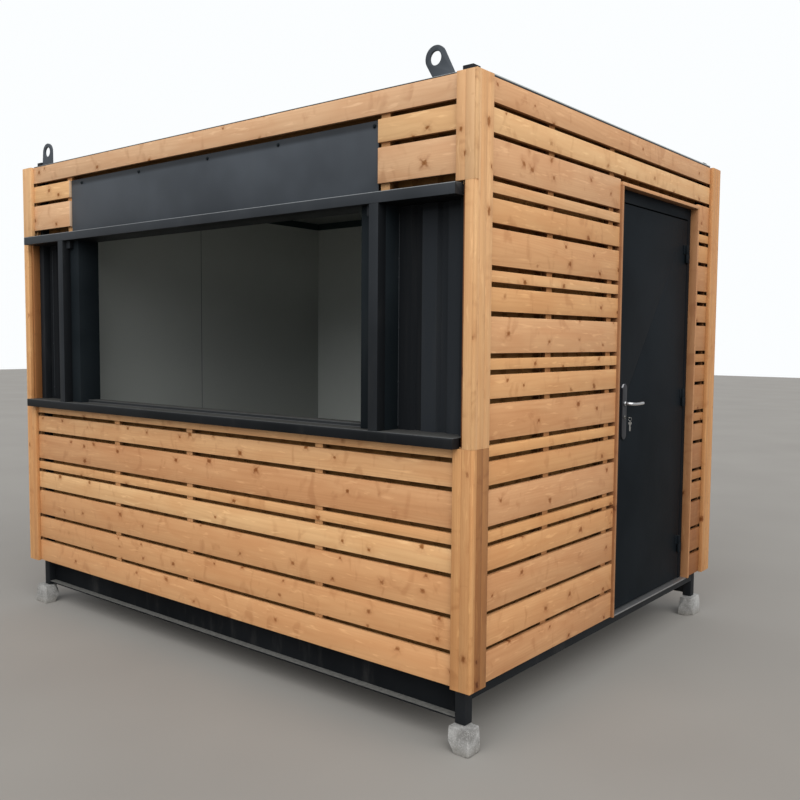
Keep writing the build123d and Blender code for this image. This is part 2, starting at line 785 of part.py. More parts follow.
# Lock cylinders, with a key in the outer one and a spare key that hangs from it
with BuildPart() as lock_cylinder:
    outer_face = leaf_face + plate_thickness
    inner_face = leaf_inside - plate_thickness
    for start in (outer_face, inner_face - cylinder_proud):
        with BuildSketch(section_plane_x(start, 0)) as cylinder:
            with Locations((handle_y, cylinder_height)):
                Circle(cylinder_radius)
        extrude(cylinder.sketch, amount=cylinder_proud)
    key_root = outer_face + cylinder_proud
    box_between(
        (key_root, key_root + key_length),
        (handle_y - key_thickness / 2, handle_y + key_thickness / 2),
        (cylinder_height - key_width / 2, cylinder_height + key_width / 2),
    )
    box_between(
        (key_root + key_length - key_thickness, key_root + key_length),
        (handle_y - key_width / 4, handle_y + key_width / 4),
        (cylinder_height - spare_key_drop, cylinder_height),
    )
lock_cylinder.part.label = "lock_cylinder"
export_step(lock_cylinder.part, "parts/lock_cylinder.step")

# Lever: one spindle through the leaf with a handle at each end
with BuildPart() as door_lever:
    with BuildSketch(section_plane_x(lever_inner_x, 0)) as spindle:
        with Locations((handle_y, lever_height)):
            Circle(spindle_radius)
    extrude(spindle.sketch, amount=lever_centre_x - lever_inner_x)
    neck_gap = plate_thickness + lever_play
    for start, end in (
        (leaf_face + neck_gap, lever_centre_x),
        (lever_inner_x, leaf_inside - neck_gap),
    ):
        with BuildSketch(section_plane_x(start, 0)) as neck:
            with Locations((handle_y, lever_height)):
                Circle(lever_neck_radius)
        extrude(neck.sketch, amount=end - start)
    for centre in (lever_centre_x, lever_inner_x):
        with BuildSketch(Plane.XZ.offset(-(handle_y - lever_neck_radius))) as grip:
            with Locations((centre, lever_height)):
                RectangleRounded(lever_section[0], lever_section[1], lever_section[0] / 3)
        extrude(grip.sketch, amount=-(lever_reach + lever_neck_radius))
door_lever.part.label = "door_lever"
export_step(door_lever.part, "parts/door_lever.step")
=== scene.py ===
"""Looks of the timber-clad street kiosk: boards, painted steel, ribbed sheet, stone feet and door furniture."""
import json
import math
import random

import bmesh
import bpy
from mathutils import Matrix, Vector, noise

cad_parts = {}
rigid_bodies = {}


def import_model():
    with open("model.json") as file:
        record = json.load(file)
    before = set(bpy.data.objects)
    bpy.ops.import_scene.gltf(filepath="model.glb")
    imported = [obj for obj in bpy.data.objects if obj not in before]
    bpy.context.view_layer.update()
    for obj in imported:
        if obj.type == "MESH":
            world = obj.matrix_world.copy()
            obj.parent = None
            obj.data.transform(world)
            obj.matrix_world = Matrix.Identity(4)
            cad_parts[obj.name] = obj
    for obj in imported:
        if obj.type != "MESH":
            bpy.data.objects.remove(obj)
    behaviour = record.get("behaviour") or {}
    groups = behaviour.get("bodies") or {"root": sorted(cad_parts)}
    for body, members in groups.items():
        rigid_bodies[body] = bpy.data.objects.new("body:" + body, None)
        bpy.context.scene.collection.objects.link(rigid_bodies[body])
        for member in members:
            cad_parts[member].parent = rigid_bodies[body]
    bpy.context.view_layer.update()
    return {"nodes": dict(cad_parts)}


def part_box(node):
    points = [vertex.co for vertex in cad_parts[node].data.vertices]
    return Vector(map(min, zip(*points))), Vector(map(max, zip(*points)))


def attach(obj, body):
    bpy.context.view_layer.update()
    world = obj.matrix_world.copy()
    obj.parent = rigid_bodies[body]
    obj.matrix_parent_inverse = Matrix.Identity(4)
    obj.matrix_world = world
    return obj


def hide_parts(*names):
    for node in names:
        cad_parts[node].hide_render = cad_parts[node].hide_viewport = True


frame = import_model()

bl_info = {
    "name": "Timber kiosk dresser",
    "version": (1, 0, 0),
    "blender": (4, 5, 0),
    "location": "View3D > Sidebar > Kiosk",
    "description": "Builds the visible boards, steel, sheets, stones and door furniture of a street kiosk",
    "category": "Object",
}

NODES = frame["nodes"]
LEFT_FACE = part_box("side_corner_boards")[0].x
RIGHT_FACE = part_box("side_corner_boards")[1].x
FRONT_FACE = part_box("front_corner_boards")[0].y
BACK_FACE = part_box("back_corner_boards")[1].y
SILL_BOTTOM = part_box("hatch_sill")[0].z
HEADER_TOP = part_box("hatch_header")[1].z
FASCIA_LOW, FASCIA_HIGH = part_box("hatch_fascia")
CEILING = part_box("ceiling_panel")[0].z
FLOOR_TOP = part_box("floor_panel")[1].z
WALL_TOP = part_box("front_wall")[1].z
ROOF_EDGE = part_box("roof_trim")[1].z
JAMB_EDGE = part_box("hatch_jambs")[1].x
NICHE_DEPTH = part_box("front_wall")[0].y
PLATE_LOW, PLATE_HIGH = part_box("handle_plates")
LEVER_LOW, LEVER_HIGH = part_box("door_lever")
KEY_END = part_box("lock_cylinder")[1].x
ROOM_LOW = Vector((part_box("left_wall")[1].x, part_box("front_wall")[1].y, FLOOR_TOP))
ROOM_HIGH = Vector((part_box("right_wall")[0].x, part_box("back_wall")[0].y, WALL_TOP))
BOARD_SET = 0.020
MERGE_GAP = 1e-5
BLACK = (0.0, 0.0, 0.0)

# Knots that show from the street: their place, whether the grain runs upright there, the radius, and how
# strongly the grain flares out from them
FRONT_KNOTS = tuple(((x, FRONT_FACE + BOARD_SET, z), False, radius, flare) for x, z, radius, flare in (
    (RIGHT_FACE - 0.263, 2.341, 0.0095, 1.0),
    (RIGHT_FACE - 0.247, 2.476, 0.0065, 0.5),
    (LEFT_FACE + 0.155, 2.627, 0.0090, 0.5),
    (LEFT_FACE + 0.265, 2.510, 0.0090, 0.5),
    (LEFT_FACE + 1.579, 1.158, 0.0100, 0.8),
    (LEFT_FACE + 1.729, 1.035, 0.0100, 0.8),
    (LEFT_FACE + 2.077, 1.025, 0.0110, 0.9),
    (LEFT_FACE + 1.963, 1.096, 0.0090, 0.7),
))
END_KNOTS = tuple(((RIGHT_FACE - BOARD_SET, y, z), False, radius, flare) for y, z, radius, flare in (
    (FRONT_FACE + 0.370, 2.363, 0.0090, 0.45),
    (FRONT_FACE + 0.434, 2.351, 0.0100, 0.5),
    (FRONT_FACE + 0.616, 2.342, 0.0080, 0.4),
))
CORNER_KNOTS = tuple(((x, y, z), True, radius, flare) for x, y, z, radius, flare in (
    (RIGHT_FACE - 0.072, FRONT_FACE, 2.442, 0.0065, 0.15),
    (RIGHT_FACE - 0.053, FRONT_FACE, 2.350, 0.0060, 0.1),
    (RIGHT_FACE - 0.031, FRONT_FACE, 0.403, 0.0090, 0.2),
    (RIGHT_FACE, FRONT_FACE + 0.046, 0.387, 0.0060, 0.1),
    (RIGHT_FACE, FRONT_FACE + 0.080, 2.476, 0.0105, 0.2),
    (RIGHT_FACE, FRONT_FACE + 0.089, 2.140, 0.0105, 0.2),
))


# Settings that a user would change

def number(name, description, default, unit="NONE"):
    return bpy.props.FloatProperty(name=name, description=description, default=default, unit=unit)


def triple(name, description, default, subtype="COLOR"):
    return bpy.props.FloatVectorProperty(
        name=name, description=description, subtype=subtype, size=3, default=default)


class KioskTimber(bpy.types.PropertyGroup):
    """Sizes and colours of the timber."""
    edge: number("Board edge", "Rounding of the planed edges", 0.0022, "LENGTH")
    light: triple("Early wood", "Colour of the pale wood between the rings", (0.685, 0.420, 0.208))
    dark: triple("Late wood", "Colour of the ring lines", (0.50, 0.265, 0.115))
    knot: triple("Knots", "Colour at the heart of a knot", (0.215, 0.068, 0.003))


class KioskSteel(bpy.types.PropertyGroup):
    """Sizes and colours of the painted steel."""
    edge: number("Steel edge", "Rounding of tubes and folded sheet", 0.0018, "LENGTH")
    paint: triple("Frame paint", "Colour of the hatch bars and frame", (0.026, 0.030, 0.035))
    leaf_paint: triple("Door paint", "Colour of the door leaf and its frame", (0.0044, 0.0066, 0.0088))
    lining: triple("Room lining", "Colour of the sheet inside the room", (0.605, 0.635, 0.60))


class KioskView(bpy.types.PropertyGroup):
    """The camera that stands where the kiosk was seen from."""
    place: triple(
        "Place", "Camera position", (LEFT_FACE + 5.24446, FRONT_FACE - 2.78792, 1.64696), "TRANSLATION")
    heading: number("Heading", "Turn to the left of straight ahead, in degrees", 39.19952)
    pitch: number("Pitch", "Tilt above the horizon, in degrees", -3.89385)
    roll: number("Roll", "Turn about the view axis, in degrees", 0.44304)
    focal: number("Focal length", "Focal length in millimetres on a 36 mm sensor", 39.98393)



# Shader maths

def sum_method(operation, swapped=False):
    """A method that joins a wire and another value by a sum of this kind."""
    def method(self, other):
        return self.sum(operation, other, self) if swapped else self.sum(operation, self, other)
    return method


class Wire:
    """A socket of a material's graph, with plain sums on it."""

    def __init__(self, graph, socket):
        self.graph = graph
        self.socket = socket

    def sum(self, operation, *values):
        return self.graph.node("ShaderNodeMath", {"operation": operation}, dict(enumerate(values)))

    __add__ = __radd__ = sum_method("ADD")
    __sub__ = sum_method("SUBTRACT")
    __rsub__ = sum_method("SUBTRACT", swapped=True)
    __mul__ = sum_method("MULTIPLY")
    __truediv__ = sum_method("DIVIDE")
    __pow__ = sum_method("POWER")
    least = sum_method("MINIMUM")
    most = sum_method("MAXIMUM")
    above = sum_method("GREATER_THAN")

    def root(self):
        return self.sum("SQRT", self)

    def size(self):
        return self.most(self * -1.0)

    def wave(self):
        return self.sum("SINE", self) * 0.5 + 0.5

    def hill(self, width):
        """1 where the value is 0, falling off smoothly over this width."""
        share = self / width
        return self.sum("EXPONENT", share * share * -1.0)

    def step(self, low, high):
        """0 below low, 1 above high and smooth between."""
        settings = {"interpolation_type": "SMOOTHSTEP"}
        return self.graph.node("ShaderNodeMapRange", settings, {0: self, 1: low, 2: high, 3: 0.0, 4: 1.0})


def faded(colour, *amounts):
    """The colour times one amount, or times one for each part."""
    return tuple(part * amount for part, amount in zip(colour, amounts if len(amounts) > 1 else amounts * 3))


class Graph:
    """The node graph of one material."""

    def __init__(self, name):
        self.material = bpy.data.materials.new(name)
        self.material.use_nodes = True
        self.tree = self.material.node_tree
        self.tree.nodes.clear()
        self.shader = self.tree.nodes.new("ShaderNodeBsdfPrincipled")
        output = self.tree.nodes.new("ShaderNodeOutputMaterial")
        self.tree.links.new(self.shader.outputs[0], output.inputs["Surface"])

    def feed(self, socket, value):
        if isinstance(value, Wire):
            self.tree.links.new(value.socket, socket)
        elif socket.type == "RGBA" and len(value) == 3:
            socket.default_value = (*value, 1.0)
        else:
            socket.default_value = value

    def node(self, kind, settings, inputs, output=0):
        made = self.tree.nodes.new(kind)
        for key, value in settings.items():
            setattr(made, key, value)
        for key, value in inputs.items():
            self.feed(made.inputs[key], value)
        return Wire(self, made.outputs[output])

    def parts(self, vector):
        split = self.node("ShaderNodeSeparateXYZ", {}, {0: vector}).socket.node
        return [Wire(self, split.outputs[index]) for index in range(3)]

    def place(self):
        return self.node("ShaderNodeTexCoord", {}, {}, "Object")

    def own(self, attribute):
        return self.node("ShaderNodeAttribute", {"attribute_name": attribute}, {}, "Vector")

    def facing(self):
        return self.parts(self.node("ShaderNodeNewGeometry", {}, {}, "Normal"))

    def vector(self, operation, first, second):
        return self.node("ShaderNodeVectorMath", {"operation": operation}, {0: first, 1: second})

    def stretch(self, vector, amounts):
        return self.vector("MULTIPLY", vector, amounts)

    def shift(self, vector, other):
        return self.vector("ADD", vector, other)

    def cloud(self, vector, scale, detail=2.0, rough=0.5, warp=0.0):
        inputs = {"Vector": vector, "Scale": scale, "Detail": detail, "Roughness": rough, "Distortion": warp}
        return self.node("ShaderNodeTexNoise", {}, inputs)

    def blend(self, factor, first, second, how="MIX"):
        settings = {"data_type": "RGBA", "blend_type": how, "clamp_factor": True}
        return self.node("ShaderNodeMix", settings, {0: factor, 6: first, 7: second}, 2)

    def bump(self, height, strength, distance):
        inputs = {"Strength": strength, "Distance": distance, "Height": height}
        return self.node("ShaderNodeBump", {}, inputs)

    def finish(self, **sockets):
        for name, value in sockets.items():
            self.feed(self.shader.inputs[name.replace("_", " ")], value)
        return self.material


def planed_pine(name, light, dark, knot, knots=1.0, rough=0.52, seen=(), squat=(0.55, 0.95), outward=None,
                turned_shade=0.9, ends=None):
    """Oiled softwood: growth rings of a log, with knots that the rings flow round.

    Squat shapes the knots along and across the grain. Faces that look down, or away from outward where
    that is given, are darker by painted shade. Ends is the
    colour of the sawn ends of boards that run along X.
    """
    graph = Graph(name)
    log = graph.own("log_place")
    board = graph.own("board_tone")
    shade, tint, luck = graph.parts(board)
    along, across, through = graph.parts(log)
    seeded = graph.shift(log, graph.stretch(board, (31.0, 17.0, 23.0)))

    # Small knots stand in the cells of a Voronoi pattern, and the seen ones take over round their places
    cell_size = (3.6, 9.0, 1.5)
    cells = graph.stretch(seeded, cell_size)
    near = {"Vector": cells, "Scale": 1.0, "Randomness": 0.8}
    voronoi = graph.node("ShaderNodeTexVoronoi", {}, near, "Position").socket.node
    within = graph.node("ShaderNodeTexVoronoi", {"feature": "DISTANCE_TO_EDGE"}, near, "Distance").step(0.02, 0.17)
    chance, size, kind = graph.parts(Wire(graph, voronoi.outputs["Color"]))
    offset = graph.parts(graph.vector("SUBTRACT", cells, Wire(graph, voronoi.outputs["Position"])))
    off_along, off_across = offset[0] / cell_size[0], offset[1] / cell_size[1]
    sided = (off_across * (kind - 0.5)).above(0.0) * 0.9 + 0.1
    spread, seen_spread = 0.019, 0.010
    skin, surround = 0.006, 0.045
    flare = size * 0.40 + 0.60
    big = size * 0.0060 + 0.0045
    big = big * chance.above(1.0 - 0.70 * knots) + 0.00001
    for (x, y, z), upright, radius, strength in seen:
        offset = graph.parts(graph.shift(graph.place(), (-x, -y, -z)))
        in_front = abs(y - FRONT_FACE) < 0.03
        depth, level = (offset[1], offset[0]) if in_front else (offset[0], offset[1])
        run, side = (offset[2], level) if upright else (level, offset[2])
        here = (depth.hill(skin) * run.hill(surround) * side.hill(surround)).above(0.35)
        off_along, off_across, big, flare = (
            old + (new - old) * here
            for old, new in ((off_along, run), (off_across, side), (big, radius), (flare, strength)))
        within, sided = within.most(here), sided.most(here)
        spread = here * seen_spread * strength + spread
    wobble = graph.cloud(seeded, 75.0, 1.0) - 0.5
    ragged = graph.cloud(seeded, 48.0, 2.0, 0.6).step(0.38, 0.62)
    slid = off_along + off_across * ((kind - 0.5) * 0.5)
    gap = (slid * slid + off_across * off_across).root()
    core_gap = (slid * slid * squat[0] + off_across * off_across * squat[1]).root()
    present = big.above(0.002) * within
    reach = core_gap / big + wobble * 1.6

    # Growth rings of a slightly tapered log, pushed aside round each knot
    ring_rate, band_rate, taper, push_width, push_height = 760.0, 190.0, 0.011, 0.028, 0.011

    def veil(lengthwise, sideways, *settings):
        return graph.cloud(graph.stretch(seeded, (lengthwise, sideways, sideways)), 1.0, *settings)

    drift = veil(0.9, 5.0)
    waver = veil(5.0, 34.0, 1.0)
    radius = (across * across + through * through).root()
    push = gap.hill(push_width) * present * push_height
    ring = radius + along * taper + drift * 0.05 + waver * 0.0035 + push
    lines = (ring * ring_rate).wave() ** 2.2
    bands = (ring * band_rate).wave()
    fibre = veil(2.2, 120.0, 2.0, 0.6)
    streak = veil(1.5, 22.0, 2.0, 0.55).step(0.42, 0.72)
    blotch = veil(2.6, 9.0, 2.0, 0.5, 0.6).step(0.35, 0.7)
    smudge = veil(13.0, 8.0, 2.0, 0.5, 0.8).step(0.56, 0.74)
    fleck = veil(9.0, 60.0, 2.0, 0.5, 0.5).step(0.60, 0.72)

    grain = (lines * 0.20 + bands * 0.12 + streak * 0.34 + (fibre - 0.5) * 0.5) * (0.5 + luck * 0.5)
    wood = graph.blend(grain.most(0.0).least(1.0), light, dark)
    wood = graph.blend(blotch * 0.36, wood, faded(dark, 1.12, 1.02, 0.95))
    wood = graph.blend(smudge * 0.42, wood, faded(dark, 0.84, 0.74, 0.66))
    wood = graph.blend(fleck * 0.50, wood, faded(light, 1.22, 1.28, 1.32))
    pinker, yellower, oiled_and_shaded, weathered_and_shaded, underside_shade = (
        (0.93, 0.94, 1.10), (1.04, 1.04, 0.95), (0.97, 0.84, 0.70), (0.36, 0.27, 0.19), (0.25, 0.17, 0.10))
    wood = graph.blend(tint * 0.90, wood, pinker, "MULTIPLY")
    wood = graph.blend((1.0 - tint) * 0.45, wood, yellower, "MULTIPLY")
    halo = (gap / big).hill(2.8) * present * (0.35 + ragged * 0.65)
    wood = graph.blend(halo * 0.52, wood, faded(dark, 0.72, 0.54, 0.40))
    width = off_across.size()
    wings = ((slid.size() - width * 1.1) / (width * 0.32 + 0.0034)).hill(1.0)
    wings = wings * gap.hill(spread) * present * sided * flare * (0.45 + ragged * 0.55)
    wood = graph.blend(wings * 0.90, wood, faded(dark, 0.46, 0.30, 0.18))
    core = (1.0 - reach.step(0.55, 1.35)) * present
    wood = graph.blend(core * (0.60 + luck * 0.30), wood, knot)
    # The board's shade darkens it: weathered tone, and painted shade on boards set dark because they stand in shade
    wood = graph.blend((shade * 4.0).least(1.0), wood, oiled_and_shaded, "MULTIPLY")
    wood = graph.blend((shade - 0.1).most(0.0), wood, weathered_and_shaded, "MULTIPLY")
    facing = graph.facing()
    # Faces that look down are darkened: painted shade under the boards
    below = (facing[2] * -1.0).step(0.45, 0.85)
    if ends is not None:
        wood = graph.blend(facing[0].size().step(0.6, 0.9) * 0.7, wood, ends)
    # Faces turned away from outward, such as batten and casing sides, are darkened: painted shade
    if outward is not None:
        towards = facing[0] * outward[0] + facing[1] * outward[1]
        turned = (1.0 - towards.step(0.45, 0.85)) * (1.0 - below)
        wood = graph.blend(turned * turned_shade, wood, (0.34, 0.26, 0.17), "MULTIPLY")
    wood = graph.blend(below * 0.80, wood, underside_shade, "MULTIPLY")

    height = lines * -0.35 + fibre * 0.6
    return graph.finish(
        Base_Color=wood,
        Roughness=rough + fibre * 0.14 + core * 0.15,
        Normal=graph.bump(height, 0.35, 0.0006),
        Coat_Weight=0.0,
        Specular_IOR_Level=0.35,
    )


def satin_paint(name, colour, rough=0.42, dust=0.25, mottle=0.16, gloss=0.2, rim=0.0, sides=None, shadow_band=None,
                crest=None, highlight_colour=(0.20, 0.21, 0.215)):
    """Satin paint on steel: a slight sheen, orange peel, and pale dust on what faces up.

    Rim is how strongly the rounded upper edges take a pale painted highlight, sides the colour of the faces
    that don't look to the front, as painted shade, and band a pair of heights between which the paint
    darkens upwards as a painted shadow, crest one between which it turns to the pale colour as a painted
    highlight.
    """
    graph = Graph(name)
    place = graph.place()
    uneven = graph.cloud(place, 2.3, 3.0, 0.55)
    fine = graph.cloud(place, 60.0, 2.0, 0.6)
    peel = graph.cloud(place, 900.0, 1.0)
    deep, upward = graph.facing()[1:]
    lying = upward.step(0.55, 0.95) * (0.35 + fine * 0.9)
    dark = faded(colour, 1 - mottle)
    pale = tuple(part * (1 + mottle) + 0.002 for part in colour)
    paint = graph.blend(uneven.step(0.3, 0.7), dark, pale)
    # Faces that don't look to the front take the sides colour: painted shade
    if sides is not None:
        paint = graph.blend((deep * -1.0).step(0.4, 0.8), sides, paint)
    # Faces that look down darken towards black: painted shade
    paint = graph.blend((upward * -1.0).step(0.5, 0.9) * 0.75, paint, BLACK)
    # Between the crest heights the paint turns pale: a painted highlight along the top edge
    if crest is not None:
        paint = graph.blend(graph.parts(place)[2].step(*crest), paint, highlight_colour)
    # Between the band heights the paint darkens upwards: a painted shadow under the board above
    if shadow_band is not None:
        paint = graph.blend(graph.parts(place)[2].step(*shadow_band) * 0.6, paint, BLACK)
    smear = graph.cloud(graph.stretch(place, (3.0, 3.0, 0.7)), 3.0, 4.0, 0.65).step(0.52, 0.8)
    soil_colour, dust_colour = (0.20, 0.19, 0.175), (0.25, 0.245, 0.225)
    paint = graph.blend(smear * dust * 0.16, paint, soil_colour)
    paint = graph.blend(lying * dust, paint, dust_colour)
    # Rounded upper edges turn pale: a painted highlight
    if rim:
        edge_highlight = upward.step(0.10, 0.45) * (1.0 - upward.step(0.93, 0.99)) * (0.7 + fine * 0.6)
        paint = graph.blend(edge_highlight * rim, paint, highlight_colour)
    return graph.finish(
        Base_Color=paint,
        Roughness=rough + uneven * 0.10 + lying * 0.25 * dust + smear * 0.08,
        Normal=graph.bump(peel, 0.05, 0.0002),
        Specular_IOR_Level=gloss,
    )


def room_sheet(name, colour):
    """Smooth pale sheet inside the room, slightly soiled."""
    graph = Graph(name)
    place = graph.place()
    cloud = graph.cloud(place, 1.6, 4.0, 0.6)
    scuff = graph.cloud(graph.stretch(place, (1.0, 1.0, 3.0)), 9.0, 4.0, 0.7).step(0.55, 0.85)
    paint = graph.blend(cloud.step(0.3, 0.75), faded(colour, 0.93), colour)
    paint = graph.blend(scuff * 0.12, paint, (0.42, 0.41, 0.39))
    return graph.finish(
        Base_Color=paint,
        Roughness=0.38 + cloud * 0.15,
        Normal=graph.bump(graph.cloud(place, 400.0, 1.0), 0.04, 0.0002),
    )


def wall_sheet(name, outer, niche, inner, inner_top):
    """A wall panel: brown behind the boards as painted light bounced off them, dark paint and painted shade beside
    the hatch, pale lining in the room.
    """
    graph = Graph(name)
    place = graph.place()
    across, deep, up = graph.parts(place)
    panel, beside_depth = 0.139, 0.12
    bright_from, fold, fold_width = JAMB_EDGE + 0.118, JAMB_EDGE + 0.229, 0.028
    inside = (
        across.above(LEFT_FACE + panel) * (RIGHT_FACE - panel - across).above(0.0)
        * deep.above(FRONT_FACE + panel) * (BACK_FACE - panel - deep).above(0.0)
    )
    uneven = graph.cloud(place, 2.0, 3.0, 0.55)
    run = graph.cloud(graph.stretch(place, (14.0, 14.0, 0.8)), 1.0, 4.0, 0.6).step(0.45, 0.8)
    dark = graph.blend(uneven, faded(outer, 0.82), faded(outer, 1.2))
    # Beside the hatch the sheet is dark, and darker still near the jamb and just under the header: painted shade
    # and a painted shadow
    beside = (FRONT_FACE + beside_depth - deep).above(0.0) * up.above(SILL_BOTTOM) * (HEADER_TOP - up).above(0.0)
    lit = across.above(bright_from) * (1.0 - (across - fold).hill(fold_width) * 0.45)
    lit = lit * (1.0 - up.step(HEADER_TOP - 0.085, HEADER_TOP - 0.060))
    dark = graph.blend(beside, dark, graph.blend(lit, faded(niche, 0.40), niche))
    dark = graph.blend(run * 0.06, dark, (0.12, 0.115, 0.105))
    soil = graph.cloud(place, 1.3, 4.0, 0.6)
    pale = graph.blend(up.step(1.5, 2.3), inner, inner_top)
    pale = graph.blend((1.0 - soil.step(0.3, 0.75)) * 0.12, pale, (0.30, 0.30, 0.28))
    return graph.finish(
        Base_Color=graph.blend(inside, dark, pale),
        Roughness=0.5 + uneven * 0.14,
        Specular_IOR_Level=0.06,
        Normal=graph.bump(graph.cloud(place, 500.0, 1.0), 0.04, 0.0002),
    )


def rough_stone(name):
    """Cast grey block with pits, chips and dirty patches."""
    graph = Graph(name)
    place = graph.place()
    broad = graph.cloud(place, 9.0, 5.0, 0.62)
    grit = graph.cloud(place, 140.0, 3.0, 0.7)
    pits = graph.node("ShaderNodeTexVoronoi", {}, {"Vector": place, "Scale": 160.0}, "Distance")
    low = graph.parts(place)[2]
    dark, middle, pale = (0.17, 0.165, 0.155), (0.34, 0.335, 0.32), (0.52, 0.51, 0.49)
    pit_colour, soil_colour = (0.12, 0.115, 0.105), (0.16, 0.145, 0.12)
    stone = graph.blend(broad.step(0.32, 0.68), dark, middle)
    stone = graph.blend(grit.step(0.45, 0.7) * 0.45, stone, pale)
    stone = graph.blend((1.0 - pits.step(0.10, 0.30)) * 0.55, stone, pit_colour)
    stone = graph.blend((1.0 - low.step(0.0, 0.05)) * 0.5, stone, soil_colour)
    height = broad * 0.9 + grit * 0.5 + pits.step(0.0, 0.3) * 0.5
    return graph.finish(Base_Color=stone, Roughness=0.93, Normal=graph.bump(height, 0.8, 0.0035))


def brushed_metal(name, colour, rough):
    """Satin metal with fine lengthwise brushing."""
    graph = Graph(name)
    place = graph.place()
    lines = graph.cloud(graph.stretch(place, (900.0, 900.0, 30.0)), 1.0, 2.0, 0.6)
    smudge = graph.cloud(place, 22.0, 3.0, 0.6)
    metal = graph.blend(smudge.step(0.3, 0.8), colour, faded(colour, 0.78))
    return graph.finish(
        Base_Color=metal,
        Metallic=1.0,
        Roughness=rough + lines * 0.10 + smudge * 0.08,
        Normal=graph.bump(lines, 0.12, 0.0001),
    )


def sealed_ply(name):
    """Floor of sealed film-faced board with boot dust."""
    graph = Graph(name)
    place = graph.place()
    grain = graph.cloud(graph.stretch(place, (1.5, 40.0, 40.0)), 1.0, 3.0, 0.6)
    dust = graph.cloud(place, 3.0, 5.0, 0.65).step(0.4, 0.75)
    dark, pale, dust_colour = (0.070, 0.055, 0.040), (0.115, 0.09, 0.066), (0.15, 0.145, 0.135)
    floor = graph.blend(grain.step(0.3, 0.7), dark, pale)
    floor = graph.blend(dust * 0.45, floor, dust_colour)
    return graph.finish(Base_Color=floor, Roughness=0.6 + dust * 0.2, Normal=graph.bump(grain, 0.2, 0.0004))


FINISHES = {}


